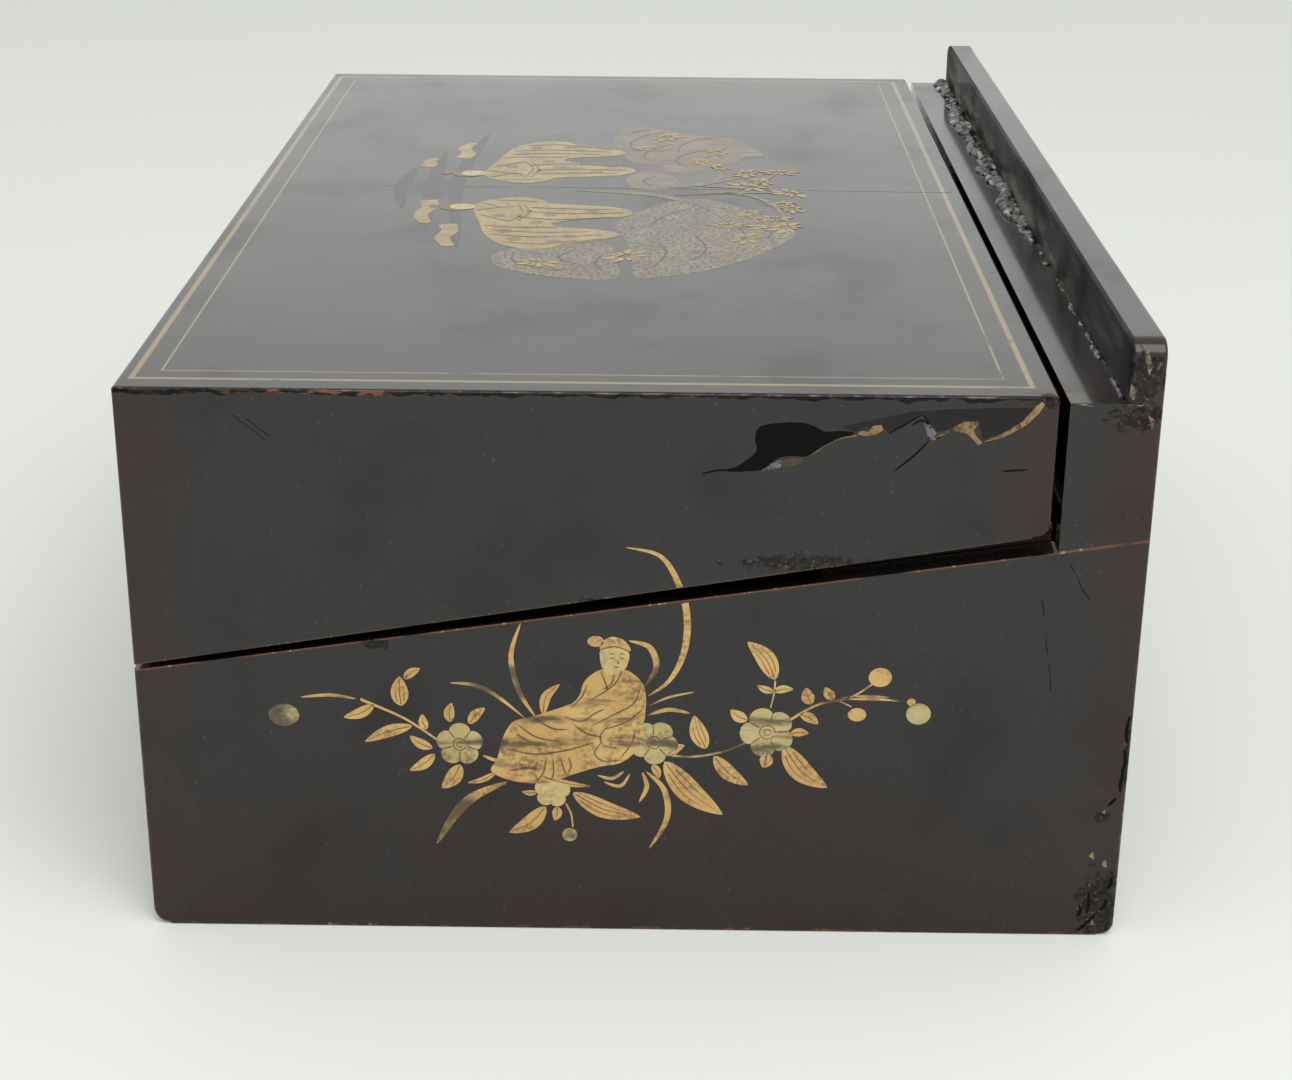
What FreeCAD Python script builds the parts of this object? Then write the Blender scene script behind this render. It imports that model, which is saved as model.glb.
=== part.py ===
"""Lacquered writing box for ink and brushes, with a lid that folds out into a writing slope.

Frame: X runs along the box, Y from the hinged front edge to the back, Z up, and the origin is the
middle of the underside. The lid is closed. Lengths are millimetres and angles are degrees.
"""

import FreeCAD
import Part
import ast
import math
import operator
import os
import re

import Sketcher

# Driving sizes of the box, the lid and their boards
SIZES = {
    "box_length": 410.0,
    "box_depth": 260.0,
    "hinge_height": 76.5,
    "rim_gap": 1.5,
    "body_rim_angle": 8.6,
    "lid_rim_angle": 9.4,
    "wall_thickness": 8.0,
    "back_wall_thickness": 9.0,
    "rabbet_land": 4.5,
    "base_thickness": 6.0,
    "base_rabbet": 3.5,
    "top_panel_thickness": 6.0,
    "front_foot_radius": 4.4,
    "back_foot_radius": 3.4,
    "lid_corner_radius": 3.5,
    "arris_radius": 0.9,
    # Stepped block along the back, with its ledge and rail
    "ledge_block_depth": 23.0,
    "ledge_height": 151.5,
    "ledge_thickness": 5.0,
    "riser_thickness": 5.0,
    "rail_thickness": 9.0,
    "rail_height": 16.0,
    "rail_end_radius": 5.0,
    "lid_back_clearance": 2.4,
    # Writing flaps and the strips that carry them
    "divider_thickness": 6.0,
    "flap_thickness": 6.0,
    "flap_gap": 0.6,
    "lower_flap_back_gap": 1.3,
    "flap_rest_gap": 0.2,
    "leather_thickness": 0.8,
    "leather_margin": 12.0,
    "bearer_width": 6.0,
    "bearer_height": 6.0,
    "knob_radius": 4.0,
    "knob_height": 2.4,
    "knob_neck_radius": 2.2,
    "knob_stem_length": 4.5,
    "knob_inset": 14.0,
    # Main hinges between body and lid
    "hinge_offset": 1.0,
    "hinge_inset": 65.0,
    "hinge_length": 50.0,
    "knuckle_radius": 2.4,
    "hinge_pin_radius": 1.0,
    "leaf_width": 7.0,
    "leaf_thickness": 1.2,
    # Small hinges of the two flaps
    "upper_hinge_inset": 150.0,
    "lower_hinge_inset": 110.0,
    "flap_hinge_length": 26.0,
    "flap_knuckle_radius": 1.5,
    "flap_pin_radius": 0.6,
    "flap_axis_depth": 0.3,
    "flap_leaf_width": 6.0,
    "flap_leaf_thickness": 0.8,
    # Clearances shared by every hinge
    "pin_clearance": 0.05,
    "knuckle_relief": 0.2,
    "knuckle_end_gap": 0.2,
    # Screws of the main hinges and nails of the flap hinges
    "screw_head_radius": 1.5,
    "screw_shank_radius": 0.7,
    "screw_head_depth": 0.8,
    "screw_length": 7.5,
    "screw_slot": 0.35,
    "nail_head_radius": 1.0,
    "nail_head_height": 0.3,
    "nail_radius": 0.5,
    "nail_length": 4.5,
    # Lift-out tray and the strips that it stands on
    "tray_space_depth": 60.0,
    "tray_base_rise": 7.5,
    "tray_clearance": 0.6,
    "tray_lid_clearance": 0.3,
    "tray_wall": 3.0,
    "tray_floor_thickness": 3.0,
    "tray_bearer_width": 4.0,
    "tray_bearer_height": 6.0,
    "stone_bay_length": 108.0,
    "dropper_bay_length": 46.0,
    "finger_notch_radius": 9.0,
    "brush_rest_thickness": 6.0,
    "brush_rest_height": 11.0,
    "brush_rest_inset": 38.0,
    "brush_rest_spacing": 120.0,
    "brush_notch_radius": 4.5,
    "brush_notch_spacing": 13.0,
    # Ink stone, which is ground on its flat and holds ink in its well
    "stone_length": 100.0,
    "stone_width": 46.0,
    "stone_height": 13.0,
    "stone_corner_radius": 3.0,
    "stone_border": 4.0,
    "stone_flat_depth": 1.6,
    "stone_well_depth": 7.0,
    "stone_well_length": 18.0,
    "stone_slope_length": 16.0,
    # Water dropper with an air hole and a pouring hole
    "dropper_length": 40.0,
    "dropper_width": 34.0,
    "dropper_height": 14.0,
    "dropper_corner_radius": 4.0,
    "dropper_wall": 1.2,
    "dropper_hole_radius": 1.2,
}

# Positions that several pieces share, as expressions in the driving sizes
HALF = "(box_length / 2)"
INSIDE = "(box_length / 2 - wall_thickness)"
FRONT = "(-box_depth / 2)"
BACK = "(box_depth / 2)"
FRONT_INNER = "(wall_thickness - box_depth / 2)"
BACK_INNER = "(box_depth / 2 - back_wall_thickness)"
RISER_FRONT = "(box_depth / 2 - ledge_block_depth)"
DIVIDER_BACK = f"({RISER_FRONT} - tray_space_depth)"
DIVIDER_FRONT = f"({DIVIDER_BACK} - divider_thickness)"
LID_BACK = f"({RISER_FRONT} - lid_back_clearance)"
LID_BACK_INNER = f"({LID_BACK} - wall_thickness)"
LID_TOP = "(2 * hinge_height)"
PANEL_UNDERSIDE = f"({LID_TOP} - top_panel_thickness)"
LEDGE_UNDERSIDE = "(ledge_height - ledge_thickness)"
FLAP_FRONT = f"({FRONT_INNER} + flap_gap)"
FLAP_HALF = f"({INSIDE} - flap_gap)"
UPPER_FLAP_BACK = f"({DIVIDER_FRONT} - flap_gap)"
LOWER_FLAP_BACK = f"({LID_BACK_INNER} - lower_flap_back_gap)"
HINGE_Y = "(-box_depth / 2 - hinge_offset)"
HINGE_PLACE = "(box_length / 2 - hinge_inset)"
TRAY_FRONT = f"({DIVIDER_BACK} + tray_clearance)"
TRAY_BACK = f"({RISER_FRONT} - tray_clearance)"
TRAY_HALF = f"({INSIDE} - tray_clearance)"
TRAY_BASE = "(hinge_height + tray_base_rise)"
TRAY_FLOOR = f"({TRAY_BASE} + tray_floor_thickness)"
TRAY_MIDDLE = f"(({TRAY_FRONT} + {TRAY_BACK}) / 2)"
# How far a cutting outline runs past the wood that it cuts
PAST = "1"

# What an expression may hold besides sizes and plain numbers
OPERATORS = {ast.Add: operator.add, ast.Sub: operator.sub, ast.Mult: operator.mul, ast.Div: operator.truediv}
FUNCTIONS = {"sin": math.sin, "cos": math.cos, "tan": math.tan}

doc = FreeCAD.newDocument("writing_box")
sheet = doc.addObject("Spreadsheet::Sheet", "sizes")
ALIAS = re.compile(r"\b(" + "|".join(SIZES) + r")\b")
nodes = {}


def fill_sheet():
    """Puts every driving size in the spreadsheet, with its name beside it."""
    for row, (name, number) in enumerate(SIZES.items(), start=1):
        sheet.set(f"A{row}", name)
        sheet.set(f"B{row}", str(number))
        sheet.setAlias(f"B{row}", name)
    doc.recompute()


def cells(expression):
    """The same expression with each size's name pointing at its cell."""
    return ALIAS.sub(r"sizes.\1", str(expression))


def number(expression):
    """The value of an expression, for places and shapes that are worked out in code."""
    return worth(ast.parse(str(expression)).body[0].value)


def worth(term):
    """The value of one term of a parsed expression, with its angles in degrees."""
    if isinstance(term, ast.Constant):
        return float(term.value)
    if isinstance(term, ast.Name):
        return float(sheet.get(term.id))
    if isinstance(term, ast.UnaryOp):
        return -worth(term.operand)
    if isinstance(term, ast.Call):
        return FUNCTIONS[term.func.id](math.radians(worth(term.args[0])))
    return OPERATORS[type(term.op)](worth(term.left), worth(term.right))


class Rim:
    """A sloping rim: where its plane starts at the front face, how it climbs, and which way is out."""

    def __init__(self, height, angle, outward):
        self.height = height
        self.angle = angle
        self.outward = outward

    def level(self, depth, lift="0"):
        """Height of the rim's plane at a place along Y, raised by lift along Z."""
        return f"({self.height} + ({depth} - {FRONT}) * tan({self.angle}) + {lift})"

    def along(self, depth):
        """Distance up the slope from the front face to a place along Y."""
        return f"(({depth} - {FRONT}) / cos({self.angle}))"

    def point(self, along, above):
        """The (y, z) of a place along the slope, and above it on its outward side."""
        rise = f"({self.outward} * ({above}))"
        y = f"({FRONT} + ({along}) * cos({self.angle}) - {rise} * sin({self.angle}))"
        z = f"({self.height} + ({along}) * sin({self.angle}) + {rise} * cos({self.angle}))"
        return y, z


BODY_RIM = Rim("(hinge_height - rim_gap / 2)", "body_rim_angle", 1)
LID_RIM = Rim("(hinge_height + rim_gap / 2)", "lid_rim_angle", -1)


# Sketches and the features made from them


def rectangle(y_low, y_high, z_low, z_high):
    """Outline with sides along Y and Z."""
    return [(y_low, z_low), (y_high, z_low), (y_high, z_high), (y_low, z_high)]


def under_slope(rim, y_low, y_high, z_low, lift="0"):
    """Outline with a level bottom, upright sides and the rim's slope on top."""
    return [
        (y_low, z_low),
        (y_high, z_low),
        (y_high, rim.level(y_high, lift)),
        (y_low, rim.level(y_low, lift)),
    ]


def over_slope(rim, y_low, y_high, z_high):
    """Outline with the rim's slope at the bottom, upright sides and a level top."""
    return [(y_low, rim.level(y_low)), (y_high, rim.level(y_high)), (y_high, z_high), (y_low, z_high)]


def slope_band(rim, y_low, y_high, lift_low, lift_high):
    """Outline between two lines parallel to the rim, with upright ends."""
    return [
        (y_low, rim.level(y_low, lift_low)),
        (y_high, rim.level(y_high, lift_low)),
        (y_high, rim.level(y_high, lift_high)),
        (y_low, rim.level(y_low, lift_high)),
    ]


def slope_plate(rim, along_low, along_high, above_low, above_high):
    """Outline square to the rim's slope."""
    return [
        rim.point(along_low, above_low),
        rim.point(along_high, above_low),
        rim.point(along_high, above_high),
        rim.point(along_low, above_high),
    ]


def origin_plane(body, role):
    """One of a body's own origin planes."""
    return next(f for f in body.Origin.OriginFeatures if f.Role == role)


def sketch_on(body, role, offset):
    """Empty sketch on an origin plane of the body, moved off it by offset."""
    sketch = body.newObject("Sketcher::SketchObject", body.Label + "_sketch")
    sketch.AttachmentSupport = (origin_plane(body, role), [""])
    sketch.MapMode = "FlatFace"
    sketch.setExpression("AttachmentOffset.Base.z", cells(offset))
    return sketch


def draw_polygon(sketch, outline):
    """Closed polygon, each corner held by two dimensions from the sketch's origin."""
    corners = [(number(a), number(b)) for a, b in outline]
    count = len(corners)
    for i, start in enumerate(corners):
        end = corners[(i + 1) % count]
        sketch.addGeometry(
            Part.LineSegment(FreeCAD.Vector(*start, 0), FreeCAD.Vector(*end, 0)), False
        )
    for i in range(count):
        sketch.addConstraint(Sketcher.Constraint("Coincident", i, 2, (i + 1) % count, 1))
    for i, (a, b) in enumerate(outline):
        for kind, expression, value in (("DistanceX", a, corners[i][0]), ("DistanceY", b, corners[i][1])):
            held = sketch.addConstraint(Sketcher.Constraint(kind, -1, 1, i, 1, value))
            sketch.setExpression(f"Constraints[{held}]", cells(expression))


def draw_circle(sketch, centre, radius):
    """Circle with its centre and radius held by dimensions."""
    middle = (number(centre[0]), number(centre[1]))
    sketch.addGeometry(
        Part.Circle(FreeCAD.Vector(*middle, 0), FreeCAD.Vector(0, 0, 1), number(radius)), False
    )
    for kind, expression, value in (("DistanceX", centre[0], middle[0]), ("DistanceY", centre[1], middle[1])):
        held = sketch.addConstraint(Sketcher.Constraint(kind, -1, 1, 0, 3, value))
        sketch.setExpression(f"Constraints[{held}]", cells(expression))
    held = sketch.addConstraint(Sketcher.Constraint("Radius", 0, number(radius)))
    sketch.setExpression(f"Constraints[{held}]", cells(radius))


class Board:
    """A piece made of lengths of one section along X, with cuts and rounded edges."""

    def __init__(self, name):
        self.body = doc.addObject("PartDesign::Body", name)
        self.body.Label = name

    def _sketch(self, outline, x_low, plane="YZ_Plane"):
        sketch = sketch_on(self.body, plane, x_low)
        if isinstance(outline, Round):
            draw_circle(sketch, outline.centre, outline.radius)
        else:
            draw_polygon(sketch, outline)
        return sketch

    def _made(self, *features):
        """Computes the new features alone, because a whole recompute each time is slow."""
        for feature in features:
            feature.recompute()
        return self

    def add(self, outline, x_low, x_high, plane="YZ_Plane"):
        """Adds the outline from x_low to x_high, or along the plane's own normal."""
        sketch = self._sketch(outline, x_low, plane)
        pad = self.body.newObject("PartDesign::Pad", self.body.Label + "_pad")
        pad.Profile = sketch
        pad.setExpression("Length", cells(f"({x_high}) - ({x_low})"))
        return self._made(sketch, pad)

    def cut(self, outline, x_low, x_high, plane="YZ_Plane"):
        """Cuts the outline away from x_low to x_high, or along the plane's own normal."""
        before = self.body.Tip.Shape.Volume
        sketch = self._sketch(outline, x_low, plane)
        pocket = self.body.newObject("PartDesign::Pocket", self.body.Label + "_pocket")
        pocket.Profile = sketch
        pocket.Reversed = True
        pocket.setExpression("Length", cells(f"({x_high}) - ({x_low})"))
        self._made(sketch, pocket)
        if pocket.Shape.Volume >= before:
            raise RuntimeError(f"{self.body.Label}: a pocket cut nothing")
        return self

    def round(self, radius, chosen):
        """Rounds the edges for which chosen(edge) is true."""
        tip = self.body.Tip
        names = [f"Edge{i}" for i, edge in enumerate(tip.Shape.Edges, start=1) if chosen(edge)]
        if not names:
            raise RuntimeError(f"{self.body.Label}: no edge to round")
        fillet = self.body.newObject("PartDesign::Fillet", self.body.Label + "_round")
        fillet.Base = (tip, names)
        fillet.setExpression("Radius", cells(radius))
        return self._made(fillet)


class Round:
    """A circular outline."""

    def __init__(self, centre, radius):
        self.centre = centre
        self.radius = radius


def keep(name, shape_object, holes=None):
    """Makes the object the node of that name, with the fasteners' holes cut in it."""
    if holes is not None:
        drilled = doc.addObject("Part::Cut", name + "_drilled")
        drilled.Base = shape_object
        drilled.Tool = holes
        doc.recompute()
        shape_object.Label = name + "_blank"
        shape_object = drilled
    shape_object.Label = name
    nodes[name] = shape_object
    return shape_object


def group(name, members):
    """Makes one node of several separate solids."""
    compound = doc.addObject("Part::Compound", name)
    compound.Links = members
    doc.recompute()
    return keep(name, compound)


def spans_x(edge):
    """True for a straight edge along X."""
    box = edge.BoundBox
    return box.XLength > 1 and box.YLength < 1e-6 and box.ZLength < 1e-6


def spans_y(edge):
    """True for a straight edge along Y."""
    box = edge.BoundBox
    return box.YLength > 1 and box.XLength < 1e-6 and box.ZLength < 1e-6


def spans_z(edge):
    """True for a straight edge along Z."""
    box = edge.BoundBox
    return box.ZLength > 1 and box.XLength < 1e-6 and box.YLength < 1e-6


def near(value, expression):
    """True where a coordinate is at an expression's value."""
    return abs(value - number(expression)) < 1e-4


def at_ends(edge):
    """True for an edge at either end face of the box."""
    return near(abs(edge.BoundBox.Center.x), HALF)


# Hinges


class Hinge:
    """One three-knuckle hinge: its axis, where it lies along X and how big its parts are."""

    def __init__(self, axis, place, length, knuckle, pin, leaf_width, leaf_thickness):
        self.axis = axis
        self.start = f"({place} - {length} / 2)"
        self.end = f"({place} + {length} / 2)"
        self.length = length
        self.knuckle = knuckle
        self.pin = pin
        self.leaf_width = leaf_width
        self.leaf_thickness = leaf_thickness
        first = f"({place} - {length} / 6)"
        second = f"({place} + {length} / 6)"
        half_gap = "knuckle_end_gap / 2"
        self.outer = [(self.start, f"({first} - {half_gap})"), (f"({second} + {half_gap})", self.end)]
        self.middle = [(f"({first} + {half_gap})", f"({second} - {half_gap})")]

    def plate(self, rim, along_low, along_high):
        """Outline of a leaf let into the surface of a rim."""
        return slope_plate(rim, along_low, along_high, f"-{self.leaf_thickness}", "0")

    def leaf(self, name, outline, knuckles, others, clearance):
        """A leaf with its own knuckles, cut clear of the other leaf's knuckles and bored for the pin."""
        piece = Board(name).add(outline, self.start, self.end)
        for low, high in knuckles:
            piece.add(Round(self.axis, self.knuckle), low, high)
        for low, high in others:
            relief = Round(self.axis, f"({self.knuckle} + knuckle_relief)")
            piece.cut(relief, f"({low} - knuckle_end_gap)", f"({high} + knuckle_end_gap)")
        bore = Round(self.axis, f"({self.pin} + {clearance})")
        return piece.cut(bore, f"({self.start} - {PAST})", f"({self.end} + {PAST})").body

    def seat(self, board, outline):
        """Lets the leaf and the knuckles into a board."""
        board.cut(outline, self.start, self.end)
        groove = Round(self.axis, f"({self.knuckle} + knuckle_relief)")
        ends = (f"({self.start} - knuckle_relief)", f"({self.end} + knuckle_relief)")
        board.cut(groove, *ends)

    def pin_piece(self, name):
        """The hinge's pin, as long as its three knuckles."""
        return Board(name).add(Round(self.axis, self.pin), self.start, self.end).body

    def fixings(self, count):
        """Places along X of the leaf's fixings."""
        return [f"({self.start} + {self.length} * {2 * i + 1} / {2 * count})" for i in range(count)]


def main_hinges():
    """The two hinges on which the lid folds out."""
    return [
        Hinge(
            (HINGE_Y, "hinge_height"),
            place,
            "hinge_length",
            "knuckle_radius",
            "hinge_pin_radius",
            "leaf_width",
            "leaf_thickness",
        )
        for place in (f"(-{HINGE_PLACE})", HINGE_PLACE)
    ]


def flap_hinges(rim, inset):
    """The two small hinges of a flap, between the front wall's rim and the flap's front edge."""
    axis = rim.point(rim.along(f"({FRONT_INNER} + flap_gap / 2)"), "-flap_axis_depth")
    return [
        Hinge(
            axis,
            where,
            "flap_hinge_length",
            "flap_knuckle_radius",
            "flap_pin_radius",
            "flap_leaf_width",
            "flap_leaf_thickness",
        )
        for where in (f"({inset} - {HALF})", f"({HALF} - {inset})")
    ]


def flap_plates(hinge, rim):
    """Outlines of a flap hinge's two leaves: the one on the wall and the one on the flap."""
    middle = rim.along(f"({FRONT_INNER} + flap_gap / 2)")
    on_wall = hinge.plate(rim, f"({middle} - {hinge.leaf_width})", middle)
    on_flap = hinge.plate(rim, middle, f"({middle} + {hinge.leaf_width})")
    return on_wall, on_flap


# Screws and nails


def out_of(rim, x, along):
    """Placement of a fixing: its local +Z points out of the rim's surface."""
    y, z = rim.point(along, "0")
    turn = number(rim.angle) if rim.outward > 0 else number(rim.angle) + 180
    spin = FreeCAD.Rotation(FreeCAD.Vector(1, 0, 0), turn)
    return FreeCAD.Placement(FreeCAD.Vector(number(x), number(y), number(z)), spin)


def screw(slotted):
    """Countersunk wood screw, its head flush with Z 0 and its point below."""
    head = number("screw_head_radius")
    shank = number("screw_shank_radius")
    depth = number("screw_head_depth")
    down = FreeCAD.Vector(0, 0, -1)
    solid = Part.makeCone(head, shank, depth, FreeCAD.Vector(), down)
    rest = number("screw_length") - depth
    solid = solid.fuse(Part.makeCylinder(shank, rest, FreeCAD.Vector(0, 0, -depth), down)).removeSplitter()
    if slotted:
        width = number("screw_slot")
        corner = FreeCAD.Vector(-2 * head, -width / 2, -width)
        solid = solid.cut(Part.makeBox(4 * head, width, 2 * width, corner))
    return solid


def nail(_slotted):
    """Round-headed nail, its head standing on Z 0."""
    radius = number("nail_head_radius")
    shank = Part.makeCylinder(
        number("nail_radius"), number("nail_length"), FreeCAD.Vector(), FreeCAD.Vector(0, 0, -1)
    )
    return Part.makeCylinder(radius, number("nail_head_height")).fuse(shank).removeSplitter()


def fixings(name, make, placements):
    """A node of identical fixings, and a hidden copy without slots that cuts their holes."""
    pair = []
    for label, slotted in ((name, True), (name + "_holes", False)):
        solids = []
        for placement in placements:
            solid = make(slotted)
            solid.Placement = placement
            solids.append(solid)
        feature = doc.addObject("Part::Feature", label)
        feature.Shape = Part.makeCompound(solids)
        feature.Label = label
        pair.append(feature)
    nodes[name] = pair[0]
    return pair[1]


# Walls of the body


def cut_end_rabbets(board, y_low, y_high):
    """Cuts both ends of a wall thinner, so that an end board laps inside it."""
    outline = rectangle(y_low, y_high, f"-{PAST}", f"({LID_TOP} + {PAST})")
    board.cut(outline, INSIDE, f"({HALF} + {PAST})")
    board.cut(outline, f"(-{HALF} - {PAST})", f"(-{INSIDE})")


def at_foot(edge):
    """Whether an edge runs along the length at the table."""
    return spans_x(edge) and edge.BoundBox.ZMax < 1


def at_end(edge):
    """Whether an edge lies in one of the box's end faces."""
    return near(abs(edge.BoundBox.XMin), HALF)


def ease_corners(board, y):
    """Rounds the upright arrises of a wall, or of the top panel, at its outer face."""
    board.round("arris_radius", lambda e: spans_z(e) and near(e.BoundBox.YMin, y) and at_end(e))


def body_front_wall(hinges, small_hinges):
    """Low wall at the front, with the main hinges and the upper flap's hinges let into its rim."""
    wall = Board("body_front_wall_board")
    wall.add(under_slope(BODY_RIM, FRONT, FRONT_INNER, "0"), f"(-{HALF})", HALF)
    cut_end_rabbets(wall, f"({FRONT} + rabbet_land)", f"({FRONT_INNER} + {PAST})")
    base = rectangle(
        f"({FRONT_INNER} - base_rabbet)", f"({FRONT_INNER} + {PAST})", f"-{PAST}", "base_thickness"
    )
    wall.cut(base, f"(-{HALF})", HALF)
    wall.round("front_foot_radius", lambda e: at_foot(e) and near(e.BoundBox.YMin, FRONT))
    ease_corners(wall, FRONT)
    for hinge in hinges:
        hinge.seat(wall, hinge.plate(BODY_RIM, "(-hinge_offset)", hinge.leaf_width))
    for hinge in small_hinges:
        hinge.seat(wall, flap_plates(hinge, BODY_RIM)[0])
    return wall.body


def body_back_wall():
    """Full-height wall at the back, up to the ledge."""
    wall = Board("body_back_wall_board")
    wall.add(rectangle(BACK_INNER, BACK, "0", "ledge_height"), f"(-{HALF})", HALF)
    cut_end_rabbets(wall, f"({BACK_INNER} - {PAST})", f"({BACK} - rabbet_land)")
    base = rectangle(
        f"({BACK_INNER} - {PAST})", f"({BACK_INNER} + base_rabbet)", f"-{PAST}", "base_thickness"
    )
    wall.cut(base, f"(-{HALF})", HALF)
    wall.round("back_foot_radius", lambda e: at_foot(e) and near(e.BoundBox.YMax, BACK))
    ease_corners(wall, BACK)
    return wall.body


def body_end(name, side):
    """End board with the box's profile: the sloping rim, then the step up to the ledge."""
    y_low = f"({FRONT} + rabbet_land)"
    y_high = f"({BACK} - rabbet_land)"
    outline = [
        (y_low, "0"),
        (y_high, "0"),
        (y_high, "ledge_height"),
        (RISER_FRONT, "ledge_height"),
        (RISER_FRONT, BODY_RIM.level(RISER_FRONT)),
        (y_low, BODY_RIM.level(y_low)),
    ]
    low, high = (INSIDE, HALF) if side > 0 else (f"(-{HALF})", f"(-{INSIDE})")
    board = Board(name + "_board").add(outline, low, high)
    lap = rectangle(f"({y_low} - {PAST})", f"({y_high} + {PAST})", f"-{PAST}", "base_thickness")
    if side > 0:
        board.cut(lap, f"({INSIDE} - {PAST})", f"({INSIDE} + base_rabbet)")
    else:
        board.cut(lap, f"(-{INSIDE} - base_rabbet)", f"(-{INSIDE} + {PAST})")
    return board.body


def body_shell(hinges, small_hinges, rim_screws, rim_nails):
    """Every fixed board of the body."""
    front = body_front_wall(hinges, small_hinges)
    both = doc.addObject("Part::Compound", "front_rim_fixings")
    both.Links = [rim_screws, rim_nails]
    keep("body_front_wall", front, both)
    keep("body_back_wall", body_back_wall())
    keep("body_left_end", body_end("body_left_end", -1))
    keep("body_right_end", body_end("body_right_end", 1))
    reach = f"({INSIDE} + base_rabbet)"
    base = rectangle(f"({FRONT_INNER} - base_rabbet)", f"({BACK_INNER} + base_rabbet)", "0", "base_thickness")
    keep("base_panel", Board("base_panel_board").add(base, f"(-{reach})", reach).body)
    riser = rectangle(RISER_FRONT, f"({RISER_FRONT} + riser_thickness)", "base_thickness", LEDGE_UNDERSIDE)
    keep("riser_board", Board("riser_blank").add(riser, f"(-{INSIDE})", INSIDE).body)
    ledge = rectangle(RISER_FRONT, BACK_INNER, LEDGE_UNDERSIDE, "ledge_height")
    keep("ledge_board", Board("ledge_blank").add(ledge, f"(-{INSIDE})", INSIDE).body)
    rail = Board("gallery_rail_blank")
    section = rectangle(f"({BACK} - rail_thickness)", BACK, "ledge_height", "(ledge_height + rail_height)")
    rail.add(section, f"(-{HALF})", HALF)
    top = "(ledge_height + rail_height)"
    rail.round("rail_end_radius", lambda e: spans_y(e) and near(e.BoundBox.ZMax, top))
    rail.round("arris_radius", lambda e: spans_x(e) and near(e.BoundBox.ZMax, top))
    keep("gallery_rail", rail.body)
    divider = under_slope(BODY_RIM, DIVIDER_FRONT, DIVIDER_BACK, "base_thickness")
    keep("tray_divider", Board("divider_blank").add(divider, f"(-{INSIDE})", INSIDE).body)


def body_bearers():
    """Strips glued inside the body: three under the upper flap and two under the tray."""
    top = "(-flap_thickness - flap_rest_gap)"
    bottom = f"({top} - bearer_height)"
    inner = f"({INSIDE} - bearer_width)"
    side = slope_band(BODY_RIM, FRONT_INNER, DIVIDER_FRONT, bottom, top)
    back = slope_band(BODY_RIM, f"({DIVIDER_FRONT} - bearer_width)", DIVIDER_FRONT, bottom, top)
    strips = [
        Board("bearer_left").add(side, f"(-{INSIDE})", f"(-{inner})").body,
        Board("bearer_right").add(side, inner, INSIDE).body,
        Board("bearer_back").add(back, f"(-{inner})", inner).body,
    ]
    group("upper_flap_bearers", strips)
    low = f"({TRAY_BASE} - tray_bearer_height)"
    strips = []
    for name, y_low, y_high in (
        ("tray_bearer_front", DIVIDER_BACK, f"({DIVIDER_BACK} + tray_bearer_width)"),
        ("tray_bearer_back", f"({RISER_FRONT} - tray_bearer_width)", RISER_FRONT),
    ):
        outline = rectangle(y_low, y_high, low, TRAY_BASE)
        strips.append(Board(name).add(outline, f"(-{INSIDE})", INSIDE).body)
    group("tray_bearers", strips)


# Walls of the lid


def lid_front_wall(hinges, small_hinges):
    """Deep wall at the lid's hinged edge."""
    wall = Board("lid_front_wall_board")
    wall.add(over_slope(LID_RIM, FRONT, FRONT_INNER, PANEL_UNDERSIDE), f"(-{HALF})", HALF)
    ease_corners(wall, FRONT)
    cut_end_rabbets(wall, f"({FRONT} + rabbet_land)", f"({FRONT_INNER} + {PAST})")
    for hinge in hinges:
        hinge.seat(wall, hinge.plate(LID_RIM, "(-hinge_offset)", hinge.leaf_width))
    for hinge in small_hinges:
        hinge.seat(wall, flap_plates(hinge, LID_RIM)[0])
    return wall.body


def lid_back_wall():
    """Shallow wall at the lid's free edge, rounded below where it meets the step."""
    wall = Board("lid_back_wall_board")
    wall.add(over_slope(LID_RIM, LID_BACK_INNER, LID_BACK, PANEL_UNDERSIDE), f"(-{HALF})", HALF)
    cut_end_rabbets(wall, f"({LID_BACK_INNER} - {PAST})", f"({LID_BACK} - rabbet_land)")
    low = LID_RIM.level(LID_BACK)
    wall.round("lid_corner_radius", lambda e: spans_x(e) and near(e.BoundBox.ZMin, low))
    ease_corners(wall, LID_BACK)
    return wall.body


def lid_end(name, side):
    """Wedge-shaped end board of the lid."""
    y_low = f"({FRONT} + rabbet_land)"
    y_high = f"({LID_BACK} - rabbet_land)"
    low, high = (INSIDE, HALF) if side > 0 else (f"(-{HALF})", f"(-{INSIDE})")
    return Board(name + "_board").add(over_slope(LID_RIM, y_low, y_high, PANEL_UNDERSIDE), low, high).body


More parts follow.
